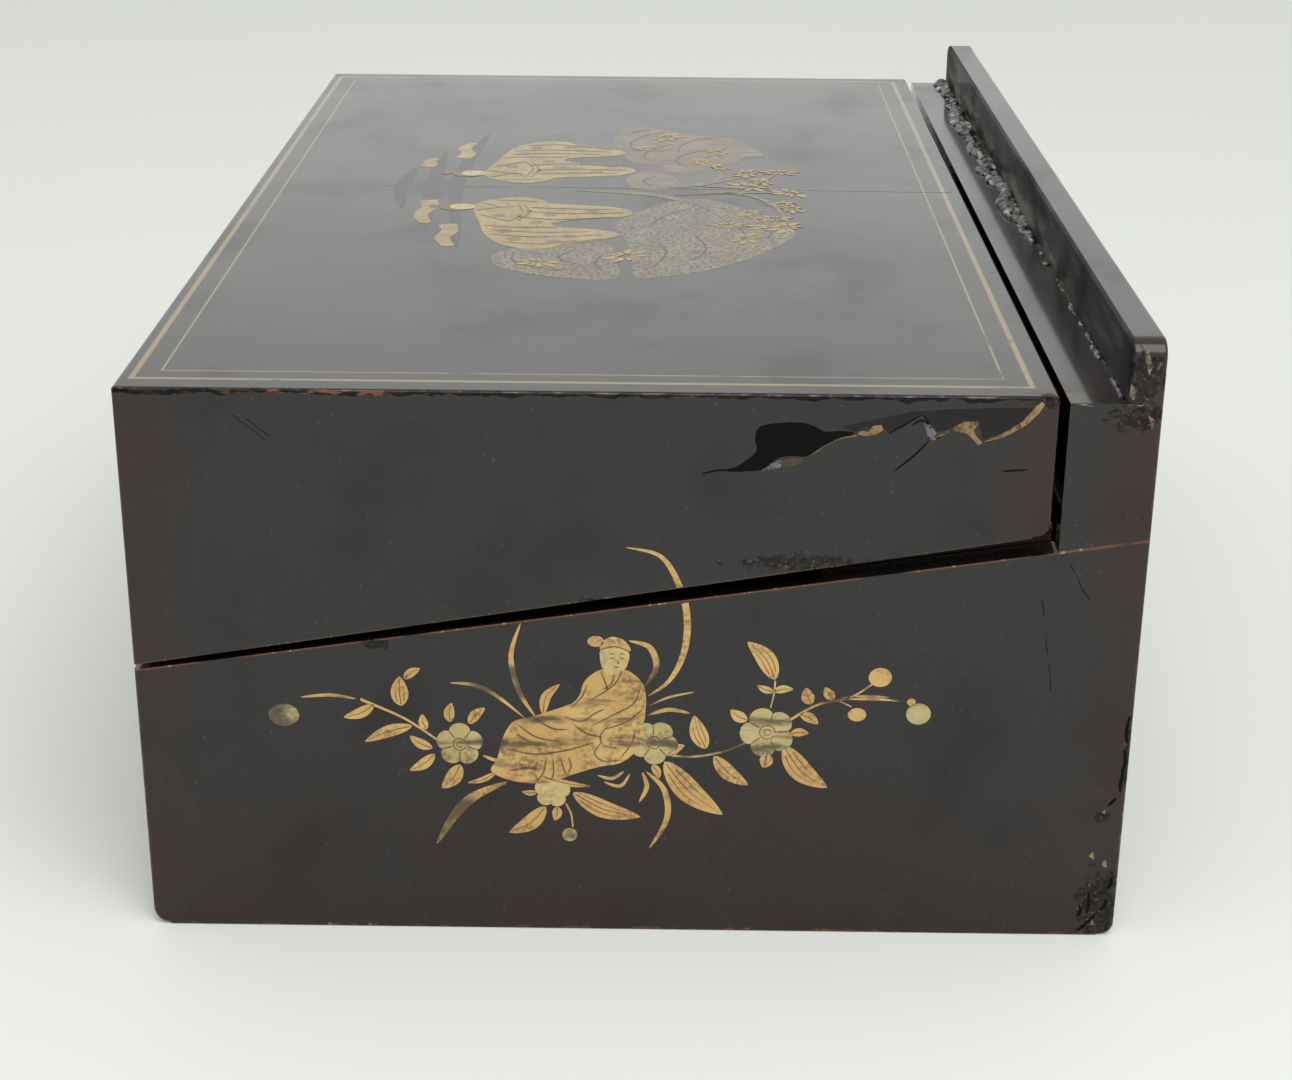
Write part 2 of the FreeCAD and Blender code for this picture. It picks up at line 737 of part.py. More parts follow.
def lid_shell(hinges, small_hinges, rim_screws, rim_nails):
    """Every fixed board of the lid."""
    panel = Board("lid_top_panel_board")
    panel.add(rectangle(FRONT, LID_BACK, PANEL_UNDERSIDE, LID_TOP), f"(-{HALF})", HALF)
    ease_corners(panel, FRONT)
    ease_corners(panel, LID_BACK)
    panel.round(
        "arris_radius",
        lambda e: near(e.BoundBox.ZMin, LID_TOP) and (spans_x(e) or spans_y(e)),
    )
    keep("lid_top_panel", panel.body)
    front = lid_front_wall(hinges, small_hinges)
    both = doc.addObject("Part::Compound", "lid_rim_fixings")
    both.Links = [rim_screws, rim_nails]
    keep("lid_front_wall", front, both)
    keep("lid_back_wall", lid_back_wall())
    keep("lid_left_end", lid_end("lid_left_end", -1))
    keep("lid_right_end", lid_end("lid_right_end", 1))
    bottom = "(flap_thickness + flap_rest_gap)"
    top = f"({bottom} + bearer_height)"
    inner = f"({INSIDE} - bearer_width)"
    side = slope_band(LID_RIM, FRONT_INNER, LID_BACK_INNER, bottom, top)
    back = slope_band(LID_RIM, f"({LID_BACK_INNER} - bearer_width)", LID_BACK_INNER, bottom, top)
    strips = [
        Board("lid_bearer_left").add(side, f"(-{INSIDE})", f"(-{inner})").body,
        Board("lid_bearer_right").add(side, inner, INSIDE).body,
        Board("lid_bearer_back").add(back, f"(-{inner})", inner).body,
    ]
    group("lower_flap_bearers", strips)


# Writing flaps


def flap_knob(name, rim, depth):
    """Low turned knob, its stem let into the flap and its local +Z out of the rim's surface."""
    body = doc.addObject("PartDesign::Body", name)
    body.Label = name
    profile = [
        ("0", "(-knob_stem_length)"),
        ("(knob_neck_radius / 2)", "(-knob_stem_length)"),
        ("(knob_neck_radius / 2)", "0"),
        ("knob_neck_radius", "0"),
        ("knob_neck_radius", "(knob_height * 0.4)"),
        ("knob_radius", "(knob_height * 0.7)"),
        ("(knob_radius * 0.7)", "knob_height"),
        ("0", "knob_height"),
    ]
    sketch = sketch_on(body, "XZ_Plane", "0")
    draw_polygon(sketch, profile)
    turned = body.newObject("PartDesign::Revolution", name + "_turned")
    turned.Profile = sketch
    turned.ReferenceAxis = (sketch, ["V_Axis"])
    turned.Angle = 360
    y, z = rim.point(rim.along(depth), "0")
    spin = FreeCAD.Rotation(FreeCAD.Vector(1, 0, 0), 90)
    body.Placement = FreeCAD.Placement(FreeCAD.Vector(0, number(y), number(z)), spin)
    body.setExpression("Placement.Base.y", cells(y))
    body.setExpression("Placement.Base.z", cells(z))
    turn = rim.angle if rim.outward > 0 else f"({rim.angle} + 180)"
    body.setExpression("Placement.Rotation.Angle", cells(turn))
    doc.recompute()
    return body


def writing_flap(which, rim, flap_back, hinges):
    """A flap of the writing slope: its board, leather, hinge leaves, nails, pins and knob."""
    inward = f"({-rim.outward} * flap_thickness)"
    leather_in = f"({-rim.outward} * leather_thickness)"
    board = Board(f"{which}_flap_blank")
    board.add(slope_band(rim, FLAP_FRONT, flap_back, "0", inward), f"(-{FLAP_HALF})", FLAP_HALF)
    inlay = slope_band(
        rim, f"({FLAP_FRONT} + leather_margin)", f"({flap_back} - leather_margin)", "0", leather_in
    )
    cutter = slope_band(
        rim,
        f"({FLAP_FRONT} + leather_margin)",
        f"({flap_back} - leather_margin)",
        f"({rim.outward} * {PAST})",
        leather_in,
    )
    half = f"({FLAP_HALF} - leather_margin)"
    board.cut(cutter, f"(-{half})", half)
    leaves, pins, places = [], [], []
    for side, hinge in zip(("left", "right"), hinges):
        outline = flap_plates(hinge, rim)[1]
        hinge.seat(board, outline)
        name = f"{which}_{side}_flap_leaf"
        leaves.append(hinge.leaf(name, outline, hinge.middle, hinge.outer, "pin_clearance"))
        pins.append(hinge.pin_piece(f"{which}_{side}_flap_pin"))
        along = f"({rim.along(FRONT_INNER)} + flap_gap / 2 + flap_leaf_width * 0.62)"
        places += [out_of(rim, x, along) for x in hinge.fixings(2)]
    holes = fixings(f"{which}_flap_nails", nail, places)
    knob_depth = f"({flap_back} - knob_inset)"
    knob = flap_knob(f"{which}_flap_knob", rim, knob_depth)
    keep(f"{which}_flap_knob", knob)
    inlay_body = Board(f"{which}_flap_leather_sheet").add(inlay, f"(-{half})", half).body
    cutters = doc.addObject("Part::Compound", f"{which}_flap_cutters")
    cutters.Links = [holes, knob]
    keep(f"{which}_flap_board", board.body, cutters)
    keep(f"{which}_flap_leather", inlay_body, knob)
    joined = doc.addObject("Part::Compound", f"{which}_flap_leaf_pair")
    joined.Links = leaves
    keep(f"{which}_flap_hinge_leaves", joined, holes)
    group(f"{which}_flap_hinge_pins", pins)


def wall_leaves(which, rim, hinges):
    """The leaves of a flap's hinges that stay on the front wall, with their nails."""
    leaves, places = [], []
    for side, hinge in zip(("left", "right"), hinges):
        outline = flap_plates(hinge, rim)[0]
        leaves.append(hinge.leaf(f"{which}_{side}_wall_leaf", outline, hinge.outer, hinge.middle, "0"))
        along = f"({rim.along(FRONT_INNER)} + flap_gap / 2 - flap_leaf_width * 0.62)"
        places += [out_of(rim, x, along) for x in hinge.fixings(2)]
    holes = fixings(f"{which}_hinge_wall_nails", nail, places)
    joined = doc.addObject("Part::Compound", f"{which}_wall_leaf_pair")
    joined.Links = leaves
    keep(f"{which}_hinge_wall_leaves", joined, holes)
    return holes


def main_leaves(which, rim, hinges, middle):
    """One side's leaves of the main hinges, with their screws."""
    places = []
    for hinge in hinges:
        places += [out_of(rim, x, "(leaf_width * 0.62)") for x in hinge.fixings(3)]
    holes = fixings(f"main_hinge_{which}_screws", screw, places)
    for side, hinge in zip(("left", "right"), hinges):
        outline = hinge.plate(rim, "(-hinge_offset)", hinge.leaf_width)
        own, other, clearance = hinge.middle, hinge.outer, "pin_clearance"
        if not middle:
            own, other, clearance = hinge.outer, hinge.middle, "0"
        name = f"{side}_hinge_{which}_leaf"
        keep(name, hinge.leaf(name + "_plate", outline, own, other, clearance), holes)
    return holes


# Tray and what it holds


def tray():
    """Lift-out tray with bays for the ink stone, the water dropper and the brushes."""
    floor = rectangle(TRAY_FRONT, TRAY_BACK, TRAY_BASE, TRAY_FLOOR)
    keep("tray_floor", Board("tray_floor_board").add(floor, f"(-{TRAY_HALF})", TRAY_HALF).body)
    drop = "(-tray_lid_clearance)"
    inner_front = f"({TRAY_FRONT} + tray_wall)"
    inner_back = f"({TRAY_BACK} - tray_wall)"
    front = under_slope(LID_RIM, TRAY_FRONT, inner_front, TRAY_FLOOR, drop)
    keep("tray_front_wall", Board("tray_front_board").add(front, f"(-{TRAY_HALF})", TRAY_HALF).body)
    back = under_slope(LID_RIM, inner_back, TRAY_BACK, TRAY_FLOOR, drop)
    keep("tray_back_wall", Board("tray_back_board").add(back, f"(-{TRAY_HALF})", TRAY_HALF).body)
    across = under_slope(LID_RIM, inner_front, inner_back, TRAY_FLOOR, drop)
    wall_inner = f"({TRAY_HALF} - tray_wall)"
    keep("tray_left_end", Board("tray_left_board").add(across, f"(-{TRAY_HALF})", f"(-{wall_inner})").body)
    keep("tray_right_end", Board("tray_right_board").add(across, wall_inner, TRAY_HALF).body)
    notch = Round((TRAY_MIDDLE, LID_RIM.level(TRAY_MIDDLE)), "finger_notch_radius")
    parts = []
    for name, high in (("stone_partition", stone_bay_low()), ("dropper_partition", dropper_bay_low())):
        low = f"({high} - tray_wall)"
        piece = Board(name).add(across, low, high)
        piece.cut(notch, f"({low} - {PAST})", f"({high} + {PAST})")
        parts.append(piece.body)
    group("tray_partitions", parts)


def stone_bay_low():
    """Where the ink stone's bay starts along X."""
    return f"({TRAY_HALF} - tray_wall - stone_bay_length)"


def dropper_bay_low():
    """Where the water dropper's bay starts along X."""
    return f"({stone_bay_low()} - tray_wall - dropper_bay_length)"


def brush_rests():
    """Two notched bars that hold the brushes off the tray's floor."""
    inner_front = f"({TRAY_FRONT} + tray_wall)"
    inner_back = f"({TRAY_BACK} - tray_wall)"
    top = f"({TRAY_FLOOR} + brush_rest_height)"
    bars = []
    first = f"(-{TRAY_HALF} + tray_wall + brush_rest_inset)"
    for i in range(2):
        low = f"({first} + {i} * brush_rest_spacing)"
        high = f"({low} + brush_rest_thickness)"
        bar = Board(f"brush_rest_{i}").add(rectangle(inner_front, inner_back, TRAY_FLOOR, top), low, high)
        for step in (-1, 0, 1):
            middle = f"({TRAY_MIDDLE} + {step} * brush_notch_spacing)"
            bar.cut(Round((middle, top), "brush_notch_radius"), f"({low} - {PAST})", f"({high} + {PAST})")
        bars.append(bar.body)
    group("brush_rests", bars)


def ink_stone():
    """Ink stone: a bordered slab, its flat sinking down a slope into the ink well."""
    middle = f"({stone_bay_low()} + stone_bay_length / 2)"
    low, high = f"({middle} - stone_length / 2)", f"({middle} + stone_length / 2)"
    top = f"({TRAY_FLOOR} + stone_height)"
    y_low = f"({TRAY_MIDDLE} - stone_width / 2)"
    y_high = f"({TRAY_MIDDLE} + stone_width / 2)"
    stone = Board("ink_stone_slab").add(rectangle(y_low, y_high, TRAY_FLOOR, top), low, high)
    stone.round("stone_corner_radius", spans_z)
    inner_low = f"({low} + stone_border)"
    inner_high = f"({high} - stone_border)"
    flat = f"({top} - stone_flat_depth)"
    bottom = f"({top} - stone_well_depth)"
    well_end = f"({inner_low} + stone_well_length)"
    # The XZ plane faces -Y, so depths along it are counted down from zero
    hollow = [
        (inner_low, f"({top} + {PAST})"),
        (inner_low, bottom),
        (well_end, bottom),
        (f"({well_end} + stone_slope_length)", flat),
        (inner_high, flat),
        (inner_high, f"({top} + {PAST})"),
    ]
    y_first = f"({y_low} + stone_border)"
    y_last = f"({y_high} - stone_border)"
    stone.cut(hollow, f"(-{y_last})", f"(-{y_first})", plane="XZ_Plane")
    keep("ink_stone", stone.body)


def water_dropper():
    """Flat metal vessel with an air hole in the middle and a pouring hole in one corner."""
    middle = f"({dropper_bay_low()} + dropper_bay_length / 2)"
    low, high = f"({middle} - dropper_length / 2)", f"({middle} + dropper_length / 2)"
    y_low = f"({TRAY_MIDDLE} - dropper_width / 2)"
    y_high = f"({TRAY_MIDDLE} + dropper_width / 2)"
    top = f"({TRAY_FLOOR} + dropper_height)"
    outside = Board("dropper_outside").add(rectangle(y_low, y_high, TRAY_FLOOR, top), low, high)
    outside.round("dropper_corner_radius", spans_z)
    outside.round("arris_radius", lambda e: near(e.BoundBox.ZMin, top))
    wall = "dropper_wall"
    inner = rectangle(
        f"({y_low} + {wall})", f"({y_high} - {wall})", f"({TRAY_FLOOR} + {wall})", f"({top} - {wall})"
    )
    water = Board("dropper_water").add(inner, f"({low} + {wall})", f"({high} - {wall})")
    corner = "(dropper_corner_radius - dropper_wall)"
    water.round(corner, spans_z)
    holes = []
    for name, x, y in (
        ("air_hole", middle, TRAY_MIDDLE),
        ("pouring_hole", f"({low} + 2 * dropper_corner_radius)", f"({y_low} + 2 * dropper_corner_radius)"),
    ):
        hole = doc.addObject("Part::Cylinder", name)
        hole.setExpression("Radius", cells("dropper_hole_radius"))
        hole.setExpression("Height", cells(f"2 * {wall} + {PAST}"))
        hole.setExpression("Placement.Base.x", cells(x))
        hole.setExpression("Placement.Base.y", cells(y))
        hole.setExpression("Placement.Base.z", cells(f"{top} - 2 * {wall}"))
        holes.append(hole)
    cavity = doc.addObject("Part::MultiFuse", "dropper_cavity")
    cavity.Shapes = [water.body, *holes]
    vessel = doc.addObject("Part::Cut", "water_dropper")
    vessel.Base = outside.body
    vessel.Tool = cavity
    doc.recompute()
    keep("water_dropper", vessel)


def check_model():
    """Stops if any object failed, or a node's shape is missing or not valid."""
    doc.recompute()
    for item in doc.Objects:
        if {"Invalid", "Error"} & set(item.State):
            raise RuntimeError(f"{item.Label} did not compute: {item.State}")
    for name, item in nodes.items():
        if item.Shape.isNull() or not item.Shape.isValid() or not item.Shape.Solids:
            raise RuntimeError(f"{name} has no valid shape")


def write_parts():
    """Writes each node's solids to its own file."""
    os.makedirs("parts", exist_ok=True)
    for name, item in nodes.items():
        item.Shape.exportStep(f"parts/{name}.step")
    print(len(nodes), "nodes written")


def main():
    """Builds every piece, checks the model and writes it."""
    fill_sheet()
    hinges = main_hinges()
    upper = flap_hinges(BODY_RIM, "upper_hinge_inset")
    lower = flap_hinges(LID_RIM, "lower_hinge_inset")
    body_screws = main_leaves("body", BODY_RIM, hinges, middle=False)
    lid_screws = main_leaves("lid", LID_RIM, hinges, middle=True)
    group("main_hinge_pins", [h.pin_piece(f"main_pin_{i}") for i, h in enumerate(hinges)])
    body_nails = wall_leaves("upper", BODY_RIM, upper)
    lid_nails = wall_leaves("lower", LID_RIM, lower)
    body_shell(hinges, upper, body_screws, body_nails)
    body_bearers()
    lid_shell(hinges, lower, lid_screws, lid_nails)
    writing_flap("upper", BODY_RIM, UPPER_FLAP_BACK, upper)
    writing_flap("lower", LID_RIM, LOWER_FLAP_BACK, lower)
    tray()
    brush_rests()
    ink_stone()
    water_dropper()
    check_model()
    write_parts()


main()
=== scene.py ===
"""Looks of a black lacquer writing box: the finish of each board and fitting, and its gold painting.

Sizes are metres in the model's own frame, and the painting is drawn in millimetres on the face that
carries it. The lid is closed.
"""

import logging
import math
import random
from collections.abc import Callable, Sequence
from dataclasses import dataclass
from enum import Enum
from functools import reduce

import bpy
from mathutils import Matrix, Vector


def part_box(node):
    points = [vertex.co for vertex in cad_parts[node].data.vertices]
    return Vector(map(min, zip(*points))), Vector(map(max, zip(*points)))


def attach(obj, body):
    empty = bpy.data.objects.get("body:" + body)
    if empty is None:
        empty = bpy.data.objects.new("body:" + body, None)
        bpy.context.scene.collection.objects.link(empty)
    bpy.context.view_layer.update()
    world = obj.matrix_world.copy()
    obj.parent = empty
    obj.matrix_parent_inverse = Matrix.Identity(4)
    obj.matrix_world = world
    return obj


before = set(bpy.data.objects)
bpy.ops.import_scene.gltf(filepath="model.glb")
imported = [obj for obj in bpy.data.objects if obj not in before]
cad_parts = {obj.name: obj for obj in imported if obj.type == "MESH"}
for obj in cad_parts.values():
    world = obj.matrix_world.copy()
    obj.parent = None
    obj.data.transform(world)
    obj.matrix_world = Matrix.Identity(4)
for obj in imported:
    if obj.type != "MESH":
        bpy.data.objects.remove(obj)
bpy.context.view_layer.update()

log = logging.getLogger("writing_box")

MM = 0.001
Point = tuple[float, float]


# Colours and nodes


def linear(colour: str) -> tuple[float, float, float, float]:
    """Turns an sRGB hex colour into the linear values that a shader uses.

    Args:
        colour: Six hex digits after a hash sign.

    Returns:
        Red, green, blue and full opacity.
    """
    channels = [int(colour[i : i + 2], 16) / 255 for i in (1, 3, 5)]
    values = [c / 12.92 if c <= 0.04045 else ((c + 0.055) / 1.055) ** 2.4 for c in channels]
    return (*values, 1.0)


def add_node(tree: bpy.types.NodeTree, kind: str, inputs: dict) -> bpy.types.Node:
    """Adds a node with its settings and links.

    Args:
        tree: Node tree that gets the node.
        kind: Name of the node's type.
        inputs: Property names, socket names or socket numbers, each with its setting or the value it follows.

    Returns:
        The new node.
    """
    node = tree.nodes.new(kind)
    for name, value in inputs.items():
        if isinstance(value, Value):
            tree.links.new(value.output, node.inputs[name])
        elif isinstance(name, str) and hasattr(node, name):
            setattr(node, name, value)
        else:
            node.inputs[name].default_value = value
    return node


class Value:
    """A number that a material works out at each place, and that takes part in sums like a plain one."""

    def __init__(self, tree: bpy.types.NodeTree, output: bpy.types.NodeSocket) -> None:
        """Keeps a node's output, and the tree that it belongs to."""
        self.tree, self.output = tree, output

    def step(self, operation: str, *others: "float | Value", clamp: bool = False) -> "Value":
        """One step of arithmetic on this value and others, kept between 0 and 1 where clamp is set."""
        inputs = {"operation": operation, "use_clamp": clamp, **dict(enumerate((self, *others)))}
        return Value(self.tree, add_node(self.tree, "ShaderNodeMath", inputs).outputs[0])

    def __add__(self, other: "float | Value") -> "Value":
        """The sum of this and a number or value."""
        return self.step("ADD", other)

    def __sub__(self, other: "float | Value") -> "Value":
        """This less a number or value."""
        return self.step("SUBTRACT", other)

    def __mul__(self, other: "float | Value") -> "Value":
        """The product of this and a number or value."""
        return self.step("MULTIPLY", other)

    def __abs__(self) -> "Value":
        """How far this is from nought."""
        return self.step("ABSOLUTE")

    def ramp(self, low: float, high: float, start: float = 0.0, end: float = 1.0) -> "Value":
        """Runs smoothly from start to end while this value goes from low to high.

        Args:
            low: Value where the ramp starts.
            high: Value where it ends.
            start: Result at and before low.
            end: Result at and past high.

        Returns:
            The result.
        """
        inputs = {"interpolation_type": "SMOOTHSTEP", 0: self, 1: low, 2: high, 3: start, 4: end}
        return Value(self.tree, add_node(self.tree, "ShaderNodeMapRange", inputs).outputs[0])


def strongest(*masks: Value) -> Value:
    """The largest of several masks at each place."""
    return reduce(lambda first, second: first.step("MAXIMUM", second), masks)


class Surface:
    """A new material's tree with the patterns that its finish is drawn from, in real sizes."""

    def __init__(self, name: str) -> None:
        """Starts a material that holds only its object coordinates."""
        self.material = bpy.data.materials.new(name)
        self.material.use_nodes = True
        self.tree = self.material.node_tree
        self.tree.nodes.clear()
        self.place = self.add("ShaderNodeTexCoord", {}, "Object")
        split = add_node(self.tree, "ShaderNodeSeparateXYZ", {0: self.place})
        self.axes = [Value(self.tree, output) for output in split.outputs]

    def add(self, kind: str, inputs: dict, output: int | str = 0) -> Value:
        """Adds a node to this material's tree and gives one of its outputs."""
        return Value(self.tree, add_node(self.tree, kind, inputs).outputs[output])

    def vector(self, operation: str, inputs: dict, output: int = 0) -> Value:
        """One step of arithmetic on vectors."""
        return self.add("ShaderNodeVectorMath", {"operation": operation, **inputs}, output)

    def grain(
        self, size: float, detail: float = 3.0, stretch: tuple[float, ...] = (1.0,) * 3, shift: float = 0.0
    ) -> Value:
        """Cloudy pattern with features of a real size.

        Args:
            size: Width of a feature in metres.
            detail: How many finer layers it has.
            stretch: How much longer a feature is along each axis.
            shift: Offset that makes two patterns of one size differ.

        Returns:
            The pattern, from 0 to 1 and mostly near a half.
        """
        scale, place = tuple(1 / s for s in stretch), (shift, shift * 0.7, shift * 1.3)
        mapped = self.add("ShaderNodeMapping", {"Scale": scale, "Location": place, "Vector": self.place})
        return self.add("ShaderNodeTexNoise", {"Scale": 1 / size, "Detail": detail, "Vector": mapped})

    def blend(self, share: Value, first: str | Value, second: str | Value) -> Value:
        """Mixes two colours, each a hex colour or a value, with the second colour's share."""
        colours = {6: first, 7: second}
        inputs = {socket: linear(c) if isinstance(c, str) else c for socket, c in colours.items()}
        return self.add("ShaderNodeMix", {"data_type": "RGBA", 0: share, **inputs}, 2)

    def wandering(self, size: float, reach: float) -> Value:
        """Object coordinates that wander, so that a line drawn on them isn't straight.

        Args:
            size: Length of one bend in metres.
            reach: How far a bend goes to each side, in metres.

        Returns:
            The coordinates.
        """
        noise = self.add("ShaderNodeTexNoise", {"Scale": 1 / size, "Detail": 2.0, "Vector": self.place}, 1)
        centred = self.vector("SUBTRACT", {0: noise, 1: (0.5, 0.5, 0.5)})
        bend = self.vector("SCALE", {0: centred, "Scale": 2 * reach})
        return self.vector("ADD", {0: self.place, 1: bend})

    def line(self, crack: "Crack", place: Value) -> Value:
        """Mask of a crack, drawn on the coordinates that are given."""
        run = Vector(crack.end) - Vector(crack.start)
        from_start = self.vector("SUBTRACT", {0: place, 1: crack.start})
        reach = self.vector("DOT_PRODUCT", {0: from_start, 1: run}, 1)
        share = reach.step("DIVIDE", run.length_squared, clamp=True)
        along = self.vector("SCALE", {0: run, "Scale": share})
        off = self.vector("DISTANCE", {0: from_start, 1: along}, 1)
        return off.ramp(crack.width * 0.4, crack.width * 0.7, 1.0, 0.0)

    def outer_edges(self, low: Vector, high: Vector, width: float, upright: bool = False) -> Value:
        """Mask of a box's edges, where two of its faces meet.

        Args:
            low: The box's lowest corner.
            high: Its highest corner.
            width: How far the mask reaches from an edge.
            upright: Whether only the upright edges count, with a ragged and softer border.

        Returns:
            The mask.
        """
        near = []
        ragged = self.grain(0.04, 3.0, shift=2.9) * (width * 0.9) - width * 0.45
        for axis in range(2 if upright else 3):
            middle, half = (low[axis] + high[axis]) / 2, (high[axis] - low[axis]) / 2
            off = abs(self.axes[axis] - middle)
            if upright:
                off = off + ragged
            near.append(off.ramp(half - width, half if upright else half - width * 0.3))
        pairs = ((0, 1),) if upright else ((0, 1), (1, 2), (0, 2))
        return strongest(*(near[i] * near[j] for i, j in pairs))

    def finish(
        self, colour: Value, roughness: float | Value, relief: Value = None, depth: float = 0.0, **sockets
    ) -> bpy.types.Material:
        """Joins the finish to the shader and the material's output.

        Args:
            colour: Its colour.
            roughness: Its roughness.
            relief: Height of its relief, where it has one.
            depth: Height of a full step of the relief in metres.
            **sockets: Further socket names, with underscores for spaces, and their settings or values.

        Returns:
            The finished material.
        """
        inputs = {name.replace("_", " "): value for name, value in sockets.items()}
        inputs |= {"Base Color": colour, "Roughness": roughness}
        if relief is not None:
            heights = {"Distance": depth, "Strength": 1.0, "Height": relief}
            inputs["Normal"] = self.add("ShaderNodeBump", heights)
        shader = self.add("ShaderNodeBsdfPrincipled", inputs)
        add_node(self.tree, "ShaderNodeOutputMaterial", {"Surface": shader})
        return self.material


# Finishes


@dataclass(frozen=True)
class Rim:
    """A sloping rim in the YZ plane, with the height of its front end and its angle in degrees."""

    front: float
    angle: float
    outward: int

    def slope(self) -> float:
        """How much the rim rises for each metre towards the back."""
        return math.tan(math.radians(self.angle))

    def carries(self, point: Point) -> bool:
        """Whether the board with this rim lies behind a point of the end's painting."""
        return (self.front / MM + point[0] * self.slope() - point[1]) * self.outward > 0


@dataclass(frozen=True)
class Crack:
    """A crack in the lacquer between two points, with its width."""

    start: tuple[float, float, float]
    end: tuple[float, float, float]
    width: float = 0.0004


@dataclass(frozen=True)
class Bruise:
    """A patch of pitted, crumbling lacquer: its middle, and how far it reaches along each axis."""

    centre: tuple[float, float, float]
    reach: tuple[float, float, float]


@dataclass(frozen=True)
class RuledLines:
    """A thick gold line inside the lid's edges and a thin one inside that, with their distances."""

    end_inset: float = 7.4 * MM
    front_inset: float = 3.6 * MM
    back_inset: float = 6.0 * MM
    gap: float = 6.4 * MM
    outer_width: float = 1.5 * MM
    inner_width: float = 0.6 * MM
    gold: str = "#937b55"


@dataclass(frozen=True)
class BlackLacquer:
    """Old black lacquer, brushed on in many coats and polished: two glossy layers over a warm black.

    Age browns it near its edges and gives it worn red-brown arrises, fine specks and hairline cracks.
    """

    name: str
    low: Vector
    high: Vector
    rim: Rim | None = None
    cracks: tuple[Crack, ...] = ()
    bruises: tuple[Bruise, ...] = ()
    ruled: RuledLines | None = None
    chipped_top: bool = False
    rust_middle: float = -0.072
    rust_reach: float = 0.026
    rubbed_inside: bool = False
    wear: float = 0.8
    black: str = "#100c0b"
    # Brown of age near the edges; low on the walls the same colour is painted shade.
    cast_and_shade: str = "#2b160f"
    worn: str = "#5c3422"
    bare: str = "#a0754e"
    roughness: float = 0.2

    def brown_cast_and_low_shade(self, surface: Surface) -> Value:
        """Mask of the browning of age near the upright edges, and of painted shade low on the walls and at
        the foot.
        """
        clouds = surface.grain(0.06, 4.0).ramp(0.3, 0.7, 0.25, 1.0)
        edges = surface.outer_edges(self.low, self.high, 0.022, upright=True)
        # Painted shade: the foot and the low walls are made darker and browner where they reflect the floor's
        # shadow.
        foot = surface.axes[2].ramp(0.0125, 0.0145, 0.75, 0.0)
        painted_low_shade = surface.axes[2].ramp(0.01, 0.07, 0.5, 0.0)
        return strongest(edges, foot, painted_low_shade) * clouds

    def outside(self, surface: Surface, depth: float) -> Value:
        """Mask of what lies within a depth of the outer faces at the two ends and the front."""
        end = abs(surface.axes[0]).ramp(self.high[0] - depth * 1.3, self.high[0] - depth)
        front = surface.axes[1].ramp(self.low[1] + depth, self.low[1] + depth * 1.3, 1.0, 0.0)
        return strongest(end, front)

    def worn_edges(self, surface: Surface) -> Value:
        """Mask of the worn arrises and of the fine worn line along the rim."""
        broken = surface.grain(0.004, 4.0, shift=0.3)
        worn = broken.ramp(0.5, 0.6, 0.0, self.wear)
        edges = surface.outer_edges(self.low, self.high, 0.0009) * worn
        if self.rim is None:
            return edges
        level = surface.axes[1] * self.rim.slope() + (self.rim.front - self.low[1] * self.rim.slope())
        off = abs(surface.axes[2] - level)
        line = off.ramp(0.0002, 0.0005, 1.0 if self.rim.outward > 0 else 0.35, 0.0)
        longer = surface.grain(0.02, 4.0, shift=0.8).ramp(0.36, 0.46)
        line = line * longer * self.outside(surface, 0.0003)
        return strongest(edges, line)

    def bruised(self, surface: Surface) -> Value:
        """Mask of the bruises, with ragged borders."""
        ragged = surface.grain(0.003, 4.0, shift=4.4) * 2.6 - 1.3
        masks = []
        for bruise in self.bruises:
            offset = surface.vector("SUBTRACT", {0: surface.place, 1: bruise.centre})
            scaled = surface.vector("DIVIDE", {0: offset, 1: bruise.reach})
            off = surface.vector("LENGTH", {0: scaled}, 1)
            masks.append((off + ragged).ramp(0.65, 0.95, 1.0, 0.0))
        return strongest(*masks)

    def chipped_band(self, surface: Surface) -> tuple[Value, Value]:
        """Mask of the black band where the top's end arris has chipped away, and of its rusty flecks."""
        ragged = (surface.grain(0.007, 5.0, shift=1.1) - 0.5) * 0.004
        depth = ragged - (surface.axes[2] - self.high[2])
        ends = abs(surface.axes[0]).ramp(self.high[0] - 0.0006, self.high[0] - 0.0003)
        lower = depth.ramp(0.0012, 0.0016, 1.0, 0.0)
        band = lower * depth.ramp(0.0001, 0.0004) * ends
        flecks = surface.grain(0.0022, 3.0, (1.0, 3.0, 1.0), 6.0).ramp(0.52, 0.6)
        from_middle = abs(surface.axes[1] - self.rust_middle)
        stretch = from_middle.ramp(self.rust_reach, self.rust_reach + 0.008, 0.8, 0.1)
        rust = flecks * stretch * band
        return band, rust

    def ruling(self, surface: Surface, extra: float, width: float) -> Value:
        """Mask of one ruled rectangle.

        Args:
            surface: The material that gets it.
            extra: How far the line lies inside the outer one.
            width: Width of the line.

        Returns:
            The mask.
        """
        low_y = self.low[1] + self.ruled.front_inset + extra
        high_y = self.high[1] - self.ruled.back_inset - extra
        half_x = self.high[0] - self.ruled.end_inset - extra
        off_x = abs(surface.axes[0]) - half_x
        from_middle = surface.axes[1] - (low_y + high_y) / 2
        off_y = abs(from_middle) - (high_y - low_y) / 2
        off = abs(strongest(off_x, off_y))
        return off.ramp(width * 0.38, width * 0.6, 1.0, 0.0)

    def ruled_lines(self, surface: Surface) -> Value:
        """Mask of both ruled lines on the lid's top, rubbed away in places."""
        outer = self.ruling(surface, 0.0, self.ruled.outer_width)
        lines = strongest(outer, self.ruling(surface, self.ruled.gap, self.ruled.inner_width))
        kept = surface.grain(0.014, 5.0, shift=7.0).ramp(0.28, 0.42, 0.1, 0.92)
        upward = surface.axes[2].ramp(self.high[2] - 0.0006, self.high[2] - 0.0003)
        return lines * kept * upward

